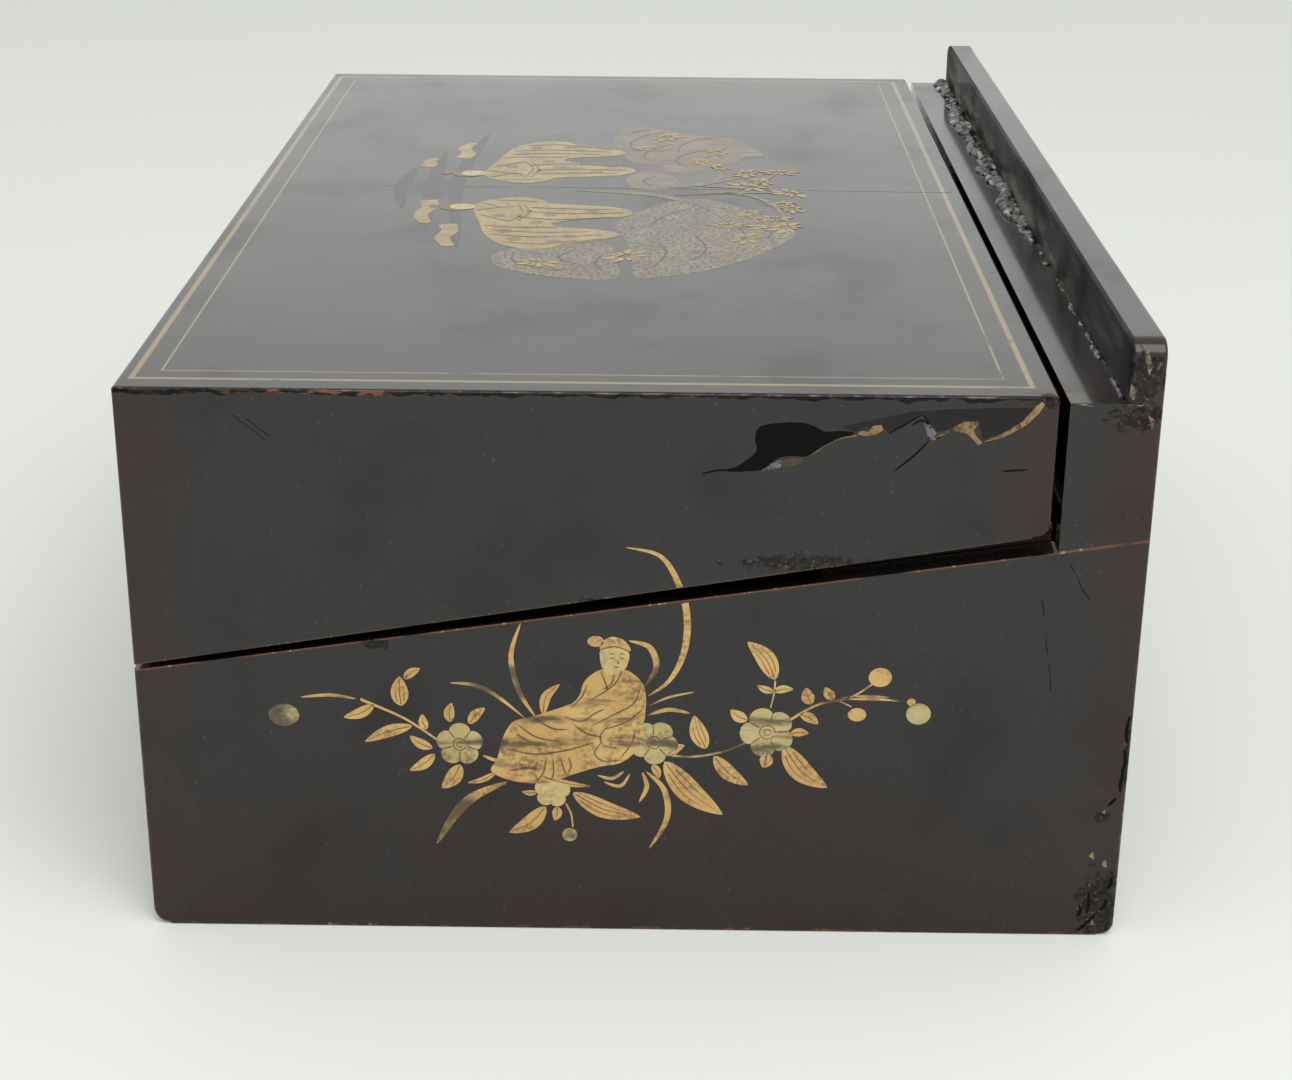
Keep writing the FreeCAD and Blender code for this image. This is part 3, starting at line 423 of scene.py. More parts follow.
    def build(self) -> bpy.types.Material:
        """Makes the material."""
        surface = Surface(self.name)
        browned_and_shaded = self.brown_cast_and_low_shade(surface)
        # Brown of age near the edges, and painted shade low on the walls and at the foot.
        colour = surface.blend(browned_and_shaded, self.black, self.cast_and_shade)
        specks = surface.grain(0.0011, 2.0).ramp(0.69, 0.76, 0.0, 0.2)
        colour = surface.blend(specks, colour, "#6f675e")
        smears = surface.grain(0.07, 5.0, shift=2.2)
        roughness = smears.ramp(0.3, 0.7, self.roughness, self.roughness + 0.1)
        swell = surface.grain(0.045, 2.0, shift=3.1) * 5.0
        ripple = surface.grain(0.0025, 3.0, shift=0.5)
        height = ripple * 0.1 + swell
        gloss = surface.grain(0.03, 3.0, (1.6, 1.0, 1.0), 5.0).ramp(0.5, 0.72, 0.96, 0.78)
        gloss *= browned_and_shaded * -0.28 + 1.0
        if self.chipped_top:
            band, rust = self.chipped_band(surface)
            colour = surface.blend(rust, surface.blend(band, colour, "#040303"), "#7d4a2e")
            height -= band * 3.0
            gloss -= band * 0.7
        if self.ruled:
            lines = self.ruled_lines(surface)
            colour = surface.blend(lines, colour, self.ruled.gold)
            height += lines * 0.4
        worn = self.worn_edges(surface)
        flecks = surface.grain(0.0016, 3.0, shift=1.7).ramp(0.6, 0.66)
        colour = surface.blend(worn, colour, surface.blend(flecks, self.worn, self.bare))
        matt = worn * 0.65
        if self.bruises:
            bruised = self.bruised(surface)
            pits = surface.grain(0.0016, 4.0, shift=8.2).ramp(0.4, 0.62)
            pale = surface.grain(0.0013, 3.0, shift=9.1).ramp(0.6, 0.68, 0.0, 0.42)
            crumbs = surface.blend(pale, surface.blend(pits, "#060505", "#29221e"), "#86806f")
            colour = surface.blend(bruised * 0.85, colour, crumbs)
            matt = strongest(matt, bruised * 0.5)
            height += bruised * pits * 4.0
            gloss *= bruised * -0.6 + 1.0
        if self.rubbed_inside:
            inside = surface.axes[1].ramp(self.low[1] + 0.0008, self.low[1] + 0.0012, 1.0, 0.0)
            scrape = surface.grain(0.004, 4.0, (5.0, 1.0, 1.0), 3.3).ramp(0.45, 0.65)
            foot = surface.axes[2].ramp(self.high[2] - 0.012, self.high[2] - 0.005, 1.0, 0.0)
            far = surface.axes[0].ramp(0.07, 0.15, 0.85, 0.0)
            smears = surface.grain(0.006, 4.0, (4.0, 1.0, 1.0), 6.1).ramp(0.4, 0.6)
            dusty = foot * far * smears
            scraped = surface.blend(dusty, surface.blend(scrape, "#161312", "#383330"), "#77756f")
            colour = surface.blend(inside, colour, scraped)
            matt = strongest(matt, inside * 0.62)
            gloss -= inside * 0.75
        roughness = strongest(roughness, matt)
        if self.cracks:
            place = surface.wandering(0.012, 0.0012)
            mask = strongest(*(surface.line(crack, place) for crack in self.cracks))
            colour = surface.blend(mask, colour, "#050404")
            height -= mask * 2.0
            gloss -= mask * 0.7
        coat = {"Coat_Weight": gloss, "Coat_Roughness": 0.09, "Specular_IOR_Level": 0.1}
        return surface.finish(colour, roughness, height, 0.0001, **coat)


class Tone(Enum):
    """Colours of the painting: its main, worn and thickly powdered colours and its share of metal."""

    GOLD = ("#bf9857", "#87653d", "#c8a464", 0.2)
    CREAM = ("#a9965f", "#6f6041", "#b6a572", 0.05)
    PALE = ("#bda86d", "#a18d5c", "#c6b47b", 0.05)
    BROWN = ("#1d1413", "#171010", "#261a19", 0.0)
    LINE = ("#5e4429", "#45301f", "#6a4e30", 0.0)
    SILK = ("#98803f", "#6c5832", "#a88e50", 0.0)
    FOLIAGE = ("#6c5840", "#4a3c2c", "#7b6648", 0.0)
    SAND = ("#7a6a4c", "#594c38", "#8a7957", 0.0)
    RAW = ("#866a48", "#533a26", "#9a7a55", 0.0)
    BARE = ("#040303", "#030202", "#060405", 0.0)
    LOOSE = ("#4b4c50", "#2b2a2d", "#62646b", 0.0)
    PRIMER = ("#130f10", "#0d0a0b", "#1a1415", 0.0)
    FLAKE = ("#6e695a", "#34322f", "#857f6c", 0.0)


@dataclass(frozen=True)
class GoldPaint:
    """Gold powder sprinkled on raised lacquer: a soft metal sheen, rubbed dark in level streaks."""

    tone: Tone
    streaks: bool = False
    speckled: bool = False
    faded: bool = False
    coat: float = 0.35
    sheen: float = 0.5
    rubs: tuple[float, ...] = (0.0704, 0.0634, 0.0558)

    def build(self) -> bpy.types.Material:
        """Makes the material."""
        main, worn, thick, metal = self.tone.value
        marks = "_worn" * self.streaks + "_speckled" * self.speckled + "_faded" * self.faded
        surface = Surface(f"painted_{self.tone.name.lower()}{marks}")
        powder = surface.grain(0.0011, 3.0).ramp(0.35, 0.68)
        clouds = surface.grain(0.007, 3.0, shift=0.4).ramp(0.38, 0.66)
        colour = surface.blend(surface.grain(0.011, 2.0, shift=4.2).ramp(0.4, 0.62), main, thick)
        colour = surface.blend(powder * clouds, colour, worn)
        if self.streaks:
            rubbed = surface.grain(0.0028, 4.0, (1.0, 5.5, 0.8), 1.3).ramp(0.56, 0.68, 0.0, 0.5)
            ragged = surface.grain(0.0035, 4.0, (1.0, 3.0, 1.0), 6.6)
            for height in self.rubs:
                off = abs(surface.axes[2] - height)
                edge = ragged * 0.008 + off
                rubbed = strongest(rubbed, edge.ramp(0.0034, 0.0056, 0.85, 0.0))
            colour = surface.blend(rubbed, colour, "#2c211b")
        if self.faded:
            rubbed = surface.grain(0.013, 4.0, shift=8.8).ramp(0.48, 0.64, 0.0, 0.85)
            colour = surface.blend(rubbed, colour, "#2a211a")
        if self.speckled:
            grains = surface.grain(0.0012, 4.0, shift=2.6).ramp(0.36, 0.58)
            colour = surface.blend(grains, "#32281f", colour)
        coat = {"Coat_Weight": self.coat, "Coat_Roughness": 0.12, "Specular_IOR_Level": self.sheen}
        return surface.finish(colour, 0.38, surface.grain(0.0006, 2.0), 0.00003, Metallic=metal, **coat)


@dataclass(frozen=True)
class CrustFinish:
    """Old glue and lacquer crust: lumpy, near black, part glossy, part dusted grey and part painted
    highlight.
    """

    name: str = "dark_crust"

    def build(self) -> bpy.types.Material:
        """Makes the material."""
        surface = Surface(self.name)
        dust = surface.grain(0.0035, 4.0).ramp(0.48, 0.62)
        colour = surface.blend(dust, "#151413", "#5a5956")
        # Pale flecks: part dust, part painted highlight on the lumps.
        pale = surface.grain(0.005, 3.0, shift=2.2).ramp(0.56, 0.66)
        colour = surface.blend(pale, colour, "#a8a7a3")
        roughness = dust.ramp(0.0, 1.0, 0.22, 0.7)
        return surface.finish(colour, roughness, surface.grain(0.0009, 3.0), 0.0003, Coat_Weight=0.7)


@dataclass(frozen=True)
class SoftwoodFinish:
    """Planed softwood such as cedar, left bare inside the case: straight brown grain and a dry face."""

    name: str = "bare_softwood"

    def build(self) -> bpy.types.Material:
        """Makes the material."""
        surface = Surface(self.name)
        rings = surface.grain(0.0022, 4.0, (18.0, 2.0, 1.0))
        colour = surface.blend(rings.ramp(0.35, 0.65), "#8a6440", "#5c3e25")
        pores = surface.grain(0.0007, 2.0, (12.0, 1.0, 1.0))
        return surface.finish(colour, 0.68, pores, 0.00012)


@dataclass(frozen=True)
class BrassFinish:
    """Cast and filed brass, dulled brown by handling, with bright rubbed patches."""

    name: str = "aged_brass"

    def build(self) -> bpy.types.Material:
        """Makes the material."""
        surface = Surface(self.name)
        tarnish = surface.grain(0.006, 5.0).ramp(0.4, 0.66)
        colour = surface.blend(tarnish, "#b7924f", "#6b5230")
        roughness = surface.grain(0.003, 3.0).ramp(0.3, 0.7, 0.28, 0.5)
        marks = surface.grain(0.0004, 2.0, (8.0, 1.0, 1.0))
        return surface.finish(colour, roughness, marks, 0.00004, Metallic=1.0)


@dataclass(frozen=True)
class SkiverFinish:
    """Split sheepskin, dyed dark red, burnished and tooled with a gold line inside its edge."""

    name: str
    low: Vector
    high: Vector
    line_inset: float = 7 * MM
    pebble: float = 0.9 * MM

    def build(self) -> bpy.types.Material:
        """Makes the material."""
        surface = Surface(self.name)
        clouds = surface.grain(0.03, 5.0).ramp(0.35, 0.7)
        colour = surface.blend(clouds, "#4a1a18", "#2c1210")
        offs = []
        for axis in range(2):
            middle, half = (self.low[axis] + self.high[axis]) / 2, (self.high[axis] - self.low[axis]) / 2
            from_middle = abs(surface.axes[axis] - middle)
            offs.append(from_middle - (half - self.line_inset))
        off = abs(strongest(*offs))
        line = off.ramp(0.0004, 0.0006, 1.0, 0.0)
        kept = surface.grain(0.005, 4.0, shift=1.1).ramp(0.34, 0.44)
        colour = surface.blend(line * kept, colour, "#a8843f")
        cells = {"Scale": 1 / self.pebble, "Vector": surface.place}
        pebbles = surface.add("ShaderNodeTexVoronoi", cells, "Distance")
        return surface.finish(colour, clouds.ramp(0.0, 1.0, 0.5, 0.66), pebbles, 0.00012)


@dataclass(frozen=True)
class SlateFinish:
    """Fine dark ink-stone slate, honed smooth, with a dull film of dried ink in its well."""

    name: str = "honed_slate"

    def build(self) -> bpy.types.Material:
        """Makes the material."""
        surface = Surface(self.name)
        clouds = surface.grain(0.018, 5.0, (2.0, 1.0, 1.0)).ramp(0.35, 0.7)
        colour = surface.blend(clouds, "#34353a", "#24242a")
        film = surface.grain(0.01, 3.0, shift=2.0).ramp(0.5, 0.64, 0.0, 0.7)
        colour = surface.blend(film, colour, "#141318")
        grit = surface.grain(0.0005, 2.0)
        return surface.finish(colour, clouds.ramp(0.0, 1.0, 0.42, 0.58), grit, 0.00004)


@dataclass(frozen=True)
class CopperFinish:
    """Beaten copper with the brown skin that simmering it in salts gives."""

    name: str = "brown_copper"

    def build(self) -> bpy.types.Material:
        """Makes the material."""
        surface = Surface(self.name)
        skin = surface.grain(0.008, 5.0).ramp(0.38, 0.66)
        colour = surface.blend(skin, "#7d4527", "#3d2319")
        dents = surface.grain(0.004, 1.0, shift=0.6)
        return surface.finish(colour, 0.36, dents, 0.0003, Metallic=1.0)


# Painting


def curve_through(points: Sequence[Point], steps: int, closed: bool = False) -> list[Point]:
    """Smooth line through points, as Catmull-Rom spans.

    Args:
        points: Points to pass through.
        steps: Straight pieces in each span.
        closed: Whether the line returns to its start.

    Returns:
        Points along the line.
    """
    count = len(points)
    line = []
    for i in range(count if closed else count - 1):
        near = [points[(i + k) % count if closed else min(max(i + k, 0), count - 1)] for k in (-1, 0, 1, 2)]
        for t in (step / steps for step in range(steps)):
            shares = (2 * t**2 - t**3 - t, 2 - 5 * t**2 + 3 * t**3, t + 4 * t**2 - 3 * t**3, t**3 - t**2)
            line.append(tuple(sum(s * point[n] for s, point in zip(shares, near)) / 2 for n in range(2)))
    return line if closed else [*line, points[-1]]


def widen(line: list[Point], half_width: Callable[[float], float]) -> list[Point]:
    """Closed outline of a stroke.

    Args:
        line: Points along its middle.
        half_width: Function that gives half the width at a share of the way along.

    Returns:
        The outline's points.
    """
    left, right = [], []
    last = len(line) - 1
    for i, (x, y) in enumerate(line):
        before, after = line[max(i - 1, 0)], line[min(i + 1, last)]
        run = Vector((after[0] - before[0], after[1] - before[1])).normalized()
        reach = half_width(i / last)
        left.append((x - run.y * reach, y + run.x * reach))
        right.append((x + run.y * reach, y - run.x * reach))
    return left[:-1] + [line[-1]] + right[-2:0:-1] + [line[0]]


def around(centre: Point, radius: float, angle: float) -> Point:
    """A point at a distance and an angle from a middle."""
    return (centre[0] + radius * math.cos(angle), centre[1] + radius * math.sin(angle))


@dataclass(frozen=True)
class Patch:
    """A closed shape: straight between its points, or smooth where it has steps for each span."""

    points: Sequence[Point]
    steps: int = 0

    def outline(self) -> list[Point]:
        """The shape's outline."""
        return curve_through(self.points, self.steps, closed=True) if self.steps else list(self.points)


@dataclass(frozen=True)
class Spot:
    """A round or oval spot, with half its width and its height as a share of its width."""

    centre: Point
    radius: float
    squash: float = 1.0

    def outline(self) -> list[Point]:
        """The spot's outline, of 32 points."""
        ring = [around((0, 0), self.radius, 2 * math.pi * i / 32) for i in range(32)]
        return [(self.centre[0] + x, self.centre[1] + y * self.squash) for x, y in ring]


@dataclass(frozen=True)
class Leaf:
    """A pointed leaf, from its stalk to its tip, with its greatest width and its sideways bow."""

    stalk: Point
    tip: Point
    width: float
    bow: float = 0.08

    LARGE = 4.4

    def spine(self) -> list[Point]:
        """Points along the midrib."""
        (x0, y0), (x1, y1) = self.stalk, self.tip
        middle = ((x0 + x1) / 2 - (y1 - y0) * self.bow, (y0 + y1) / 2 + (x1 - x0) * self.bow)
        return curve_through([self.stalk, middle, self.tip], 8)

    def outline(self) -> list[Point]:
        """The leaf's outline."""
        return widen(self.spine(), lambda t: self.width / 2 * math.sin(math.pi * t**0.85) + 0.01)

    def veins(self) -> list[Patch]:
        """Fine dark lines drawn along the midrib and, on a large leaf, beside it."""
        spine = self.spine()
        last = len(spine) - 1
        veins = []
        for side in (0.0, 0.5, -0.5) if self.width > self.LARGE else (0.0,):
            run = []
            for i, (x, y) in enumerate(spine):
                along = (Vector(spine[min(i + 1, last)]) - Vector(spine[max(i - 1, 0)])).normalized()
                reach = side * self.width / 2 * math.sin(math.pi * (i / last) ** 0.85)
                run.append((x - along.y * reach, y + along.x * reach))
            veins.append(Patch(widen(run[3:-5] if side else run[1:-2], lambda t: 0.09 * (1 - t) + 0.03)))
        return veins


@dataclass(frozen=True)
class Stroke:
    """A brush stroke through points: even along its length, or pointed at its ends."""

    points: tuple[Point, ...]
    width: float
    pointed: bool = True

    def outline(self) -> list[Point]:
        """The stroke's outline."""
        line = curve_through(self.points, 8)
        if self.pointed:
            return widen(line, lambda t: self.width / 2 * math.sin(math.pi * t) ** 0.75 + 0.02)
        return widen(line, lambda t: self.width / 2 * (1 - 0.35 * t))


@dataclass(frozen=True)
class Blossom:
    """A five-petalled flower seen from the front."""

    centre: Point
    radius: float
    turn: float = 0.3

    def outline(self) -> list[Point]:
        """Outline with five round lobes."""
        points = []
        for i in range(80):
            angle = 2 * math.pi * i / 80
            lobe = abs(math.cos(2.5 * (angle - self.turn))) ** 0.55
            points.append(around(self.centre, self.radius * (0.72 + 0.28 * lobe), angle))
        return points

    def marks(self) -> list[Stroke]:
        """Dark lines between the petals and around the flower's eye."""
        marks = []
        for petal in range(5):
            angle = self.turn + math.pi / 5 + petal * 2 * math.pi / 5
            ends = tuple(around(self.centre, self.radius * share, angle) for share in (0.36, 0.78))
            marks.append(Stroke(ends, 0.3, pointed=False))
        for share in (0.28, 0.12):
            ring = tuple(around(self.centre, self.radius * share, 2 * math.pi * i / 12) for i in range(12))
            marks.append(Stroke(ring, 0.24, pointed=False))
        return marks


Shape = Patch | Spot | Leaf | Stroke | Blossom


@dataclass(frozen=True)
class Ground:
    """A flat face that carries painting: the body it rides on, and its place and directions.

    The height of a coat of paint and the rounding of its edge are millimetres.
    """

    body: str
    origin: Vector
    across: Vector
    up: Vector
    coat_height: float = 0.035
    rounding: float = 0.012

    def matrix(self, lift: float) -> Matrix:
        """Turns millimetres on the face into the frame.

        Args:
            lift: How far above the face the painting lies, in metres.

        Returns:
            The matrix that does so.
        """
        normal = self.across.cross(self.up)
        turn = Matrix((self.across * MM, self.up * MM, normal * MM)).transposed().to_4x4()
        return Matrix.Translation(self.origin + normal * lift) @ turn

    def paint_all(self, *coats: tuple) -> None:
        """Lays several coats, each given by its name, shapes, finish and layer."""
        for coat in coats:
            self.paint(*coat)

    def paint(self, name: str, shapes: Sequence[Shape], paint: GoldPaint, layer: int) -> None:
        """Lays a coat of raised painting on the face.

        Args:
            name: The piece's name.
            shapes: Closed shapes in millimetres that don't cross each other.
            paint: Its finish.
            layer: 1 for the first coat, and more for coats laid over others.
        """
        bpy.ops.object.select_all(action="DESELECT")
        bpy.ops.curve.primitive_bezier_curve_add()
        piece = bpy.context.object
        piece.name = name
        shape = piece.data
        shape.splines.clear()
        shape.dimensions = "2D"
        shape.fill_mode = "BOTH"
        height = layer * self.coat_height
        shape.extrude = height / 2 - self.rounding
        shape.bevel_depth = self.rounding
        shape.bevel_resolution = 0
        for outline in (shape.outline() for shape in shapes):
            spline = shape.splines.new("POLY")
            spline.points.add(len(outline) - 1)
            for point, (x, y) in zip(spline.points, outline):
                point.co = (x, y, 0.0, 1.0)
            spline.use_cyclic_u = True
        bpy.ops.object.convert(target="MESH")
        piece.data.transform(self.matrix(height / 2 * MM))
        piece.data.materials.clear()
        piece.data.materials.append(paint.build())
        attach(piece, self.body)
        log.info("%s: %d shapes", name, len(shapes))


@dataclass
class EndSpray:
    """The flowering spray on the box's end, with a seated figure in a loose robe among the flowers.

    Its places are millimetres from the hinged edge and from the table.
    """

    body: Ground
    lid: Ground

    LEAVES = (
        Leaf((62, 66.6), (54, 62.9), 3.0), Leaf((71.8, 60.6), (59.3, 55.8), 3.4, -0.05),
        Leaf((69.2, 66.4), (69, 74.9), 4.6, 0.03), Leaf((70.2, 74.2), (74.4, 77.2), 2.4),
        Leaf((75.6, 59.6), (74.6, 64), 2.4), Leaf((81.8, 61.9), (82.4, 67.4), 2.8),
        Leaf((86.8, 61.4), (91, 66.1), 2.8), Leaf((77, 54.2), (71.2, 57.7), 2.8),
        Leaf((77.5, 52.4), (70.8, 47.5), 3.0), Leaf((84.2, 49.4), (79.2, 42.3), 4.2),
        Leaf((106.2, 64.4), (110.6, 73.2), 2.6, 0.16), Leaf((106.6, 37.2), (96.8, 29.2), 4.4, 0.1),
        Leaf((109.6, 37.2), (109, 33), 2.6), Leaf((113.9, 41.4), (131.8, 34.4), 5.2, -0.08),
        Leaf((104.4, 41.4), (100.4, 41.6), 1.6), Leaf((93.6, 47.2), (86, 44), 1.6),
        Leaf((134.8, 50), (136.6, 46), 2.2), Leaf((138, 51), (153.6, 35.4), 6.6, -0.07),
        Leaf((138.6, 52.8), (143.2, 55.9), 2.6), Leaf((148.9, 55), (145.6, 64.6), 4.6, 0.05),
        Leaf((151, 52.8), (160.2, 44.3), 4.2, -0.08), Leaf((169.3, 56), (181, 43.8), 6.0, -0.1),
        Leaf((164.8, 53.6), (163.9, 49.5), 3.6), Leaf((170.9, 59.6), (175.6, 59.8), 2.4),
        Leaf((159.5, 63.4), (155.1, 66.4), 3.2), Leaf((166.4, 75.2), (159, 85.9), 5.0, -0.1),
        Leaf((166.2, 71.8), (161.8, 73.6), 2.0), Leaf((166.2, 71.8), (171.2, 72.5), 2.2),
        Leaf((176.1, 68.3), (174.6, 73), 3.4), Leaf((181.9, 69.8), (179.5, 73.2), 2.8),
        Leaf((173.2, 65.3), (178, 62.5), 2.8), Leaf((105.4, 46.4), (118.6, 43.4), 1.8, -0.05),
    )
    STEMS = (
        Stroke(((43, 68.6), (50.7, 69.3), (57.4, 68.3)), 0.9),
        Stroke(((58.5, 68.2), (64, 65.7), (70.8, 62.2), (79.4, 55.8)), 0.8, pointed=False),
        Stroke(((90.2, 52.2), (93, 51), (96.6, 50.6)), 0.9),
        Stroke(((82, 73.2), (88, 72.7), (93.4, 70.2), (101.5, 63.2)), 1.1),
        Stroke(((100.6, 90.4), (98, 81), (100, 71), (104.2, 63.6)), 1.4),
        Stroke(((128.4, 85.8), (133.8, 84), (135.6, 78.4), (132.6, 72.8)), 1.6),
        Stroke(((133.6, 67.2), (139, 69.8), (145.6, 71.4)), 0.6),
        Stroke(((133.6, 64.6), (139, 66.2), (144.6, 65.2)), 1.1),
        Stroke(((96.4, 44.4), (88, 40.2), (82.6, 34.6), (77.3, 25.4)), 2.7),
        Stroke(((96.4, 44.6), (95.8, 40.4), (92.6, 37.6)), 0.9),
        Stroke(((120.4, 46.7), (124.2, 45.8), (127.4, 48)), 0.9),
        Stroke(((122, 44.8), (126.4, 43.6), (129, 47.4)), 0.9),
        Stroke(((131.4, 38.8), (133.4, 43.4), (132.2, 47.8)), 1.2),
        Stroke(((134.2, 24.8), (138.8, 34), (138, 42.6), (133.2, 48)), 1.6),
        Stroke(((137.8, 53.2), (144.8, 52.5), (153, 54), (159.6, 57)), 0.7, pointed=False),
        Stroke(((166.4, 75), (166.3, 71.6), (165.4, 66.8)), 0.5, pointed=False),
        Stroke(((170, 63.2), (177.6, 68.1), (186, 70.3), (192.6, 75)), 0.7, pointed=False),
        Stroke(((183.6, 70), (192.2, 70.8), (202, 69)), 0.7, pointed=False),
        Stroke(((112, 38.2), (113.4, 35), (113.8, 31)), 0.6, pointed=False),
        Stroke(((183, 69.4), (186.6, 67.6)), 0.5, pointed=False),
    )
    BLOSSOMS = (Blossom((84.2, 55.4), 6.2), Blossom((164.8, 60), 7.2, 0.7), Blossom((135.2, 56.6), 6.4, 1.0))
    PALE_BLOSSOM = Blossom((108.4, 41.8), 4.8, 0.2)
    PALE_BUDS = (Spot((204, 65.8), 3.2, 0.95), Spot((113, 28.8), 2.0))
    RUBBED_BUD = Spot((38.4, 63.4), 4.0, 0.8)
    GOLD_BUDS = (Spot((193.6, 76.2), 3.0, 0.9), Spot((188, 65.4), 2.4, 0.8), Spot((202, 69.2), 1.1))
    CRESCENT = (
        (127.4, 111.8), (136.4, 109.4), (141.4, 101), (143.4, 92), (142.6, 82.4), (139, 74.6),
        (133.4, 70),
    )
    ROBE = (
        (117, 68.4), (110.2, 66.2), (103.6, 63.8), (98.4, 62.2), (95.6, 57.6), (94, 51.4), (92.4, 47.6),
        (98, 44.8), (106.6, 44.2), (113.6, 46.8), (120.6, 49.2), (126.6, 50.6), (130.8, 54.6), (132.4, 60.4),
        (127.6, 67),
    )
    BODICE = (
        (121.4, 77.6), (117.2, 74.4), (115.2, 69.2), (110.8, 64.6), (112.6, 60.6), (119, 58.6), (126, 58.8),
        (131.6, 60.6), (133, 67), (132.4, 73), (129.4, 76.6), (126.2, 77.8),
    )
    FACE = (
        (121.4, 83.4), (121, 80.8), (121.6, 78.2), (122.7, 76.4), (124.9, 76.2), (127, 77.2), (128.2, 79.4),
        (128.4, 82.6), (125, 84.2),
    )
    CAP = (
        (121.2, 83.3), (121.6, 85.4), (124, 86.9), (126.8, 86.2), (128.5, 84.4), (128.7, 82.9),
        (125.4, 83.9),
    )
    TOPKNOT = Spot((119.9, 85.6), 2.1, 0.72)
    BAND = ((121.1, 83.2), (124.8, 84.2), (128.7, 82.8))
    FEATURES = (
        Stroke(((123.3, 81.9), (124, 82.2), (124.8, 82)), 0.14),
        Stroke(((126.1, 82), (126.8, 82.2), (127.4, 81.9)), 0.14),
        Stroke(((123.5, 80.7), (124.1, 80.9), (124.7, 80.7)), 0.2),
        Stroke(((126.2, 80.7), (126.8, 80.9), (127.3, 80.7)), 0.2),
        Stroke(((125.5, 80.4), (125.8, 79.5), (125.4, 79.4)), 0.14),
        Stroke(((124.7, 78.5), (125.3, 78.3), (125.9, 78.5)), 0.22),
    )
    FOLDS = (
        ((121.2, 77.2), (122.6, 73.4), (123, 71.6)),
        ((126.6, 77.6), (125.4, 74.2), (122.4, 71.4), (118.6, 68.8)),
        ((131.6, 72.6), (129.6, 67.8), (124.6, 64.6), (119, 61.4)),
        ((132.2, 66.4), (128, 62.6), (122.4, 60.4)), ((111.4, 64), (116.2, 62.6), (119.8, 65), (122.2, 66.2)),
        ((104, 63.2), (108.6, 60.4), (112.6, 60.2)), ((99.6, 61.4), (104.4, 57.8), (110.6, 56.6)),
        ((96.4, 54.4), (103.6, 52.8), (112, 54), (119.4, 56.4)), ((106.8, 51.4), (106.2, 47.6), (104.6, 45)),
        ((108.6, 51.6), (108.8, 47.6), (108.2, 45.2)), ((110.6, 51.8), (111.6, 48.2), (112.2, 46.8)),
        ((121.4, 56.4), (119.6, 53.4), (122, 51), (126.4, 51.4)),
        ((123.4, 61.6), (121.2, 58.6), (122, 55.6), (125.6, 54.8)),
        ((117.6, 73.2), (116.4, 69.8), (113.4, 66.4)), ((124.6, 76), (124, 73.6), (121.6, 71.8)),
        ((104.6, 44.8), (103.8, 48.2), (104.8, 51.2)), ((112.4, 46.8), (113.4, 49.4), (112.8, 52)),
        ((97.2, 47.8), (101.4, 48.6), (104.2, 48.2)), ((126.6, 52.2), (129.4, 56.4), (130.2, 60.4)),
        ((113.8, 62), (117.4, 59.2), (121.6, 58)), ((99.2, 58.6), (103.2, 56.2), (106.8, 55.8)),
    )

    def build(self) -> None:
        """Paints the whole spray."""
        gold, worn = GoldPaint(Tone.GOLD), GoldPaint(Tone.GOLD, streaks=True)
        faded = GoldPaint(Tone.GOLD, faded=True)
        cream, soft = GoldPaint(Tone.CREAM, streaks=True), GoldPaint(Tone.CREAM, streaks=True, rubs=())
        rubbed = GoldPaint(Tone.CREAM, streaks=True, faded=True, rubs=(0.0668, 0.0642))
        line, pale = GoldPaint(Tone.LINE), GoldPaint(Tone.PALE)
        self.body.paint_all(
            ("spray_leaves", self.LEAVES, gold, 1),
            ("spray_stems", self.STEMS, faded, 1),
            ("spray_leaf_veins", [vein for leaf in self.LEAVES for vein in leaf.veins()], line, 3),
        )
        on_lid, on_body = self.crescent()
        self.lid.paint("crescent_on_lid", [on_lid], gold, 1)
        self.body.paint_all(
            ("crescent_on_body", [on_body], gold, 1),
            ("spray_blossoms", self.BLOSSOMS, cream, 2),
            ("spray_blossom_marks", [mark for blossom in self.BLOSSOMS for mark in blossom.marks()], line, 4),
            ("spray_pale_blossom", [self.PALE_BLOSSOM], pale, 2),
            ("spray_pale_buds", self.PALE_BUDS, soft, 2),
            ("spray_rubbed_bud", [self.RUBBED_BUD], rubbed, 2),
            ("spray_gold_buds", self.GOLD_BUDS, gold, 2),
            ("figure_skirt", [Patch(self.ROBE, 6)], worn, 3),
            ("figure_bodice", [Patch(self.BODICE, 6)], worn, 4),
            ("figure_head", [Patch(self.FACE, 6)], pale, 5),
            ("figure_cap", [Patch(self.CAP, 6), self.TOPKNOT], gold, 6),
            ("figure_folds", [Stroke(fold, 0.3) for fold in (*self.FOLDS, self.BAND)], line, 7),
            ("figure_features", self.FEATURES, line, 7),
        )

    def crescent(self) -> list[Patch]:
        """The long curved blade, cut at the rims into its part on the lid and its part on the body."""
        whole = curve_through(self.CRESCENT, 8)
        outline = widen(whole, lambda t: 0.88 * math.sin(math.pi * t) ** 0.75 + 0.02)
        left, right = outline[: len(whole)], [outline[0], *outline[: len(whole) - 1 : -1]]
        parts = []
        for rim in (LID_RIM, BODY_RIM):
            kept = [[point for point in side if rim.carries(point)] for side in (left, right)]
            parts.append(Patch([*kept[0], *reversed(kept[1])]))
        return parts


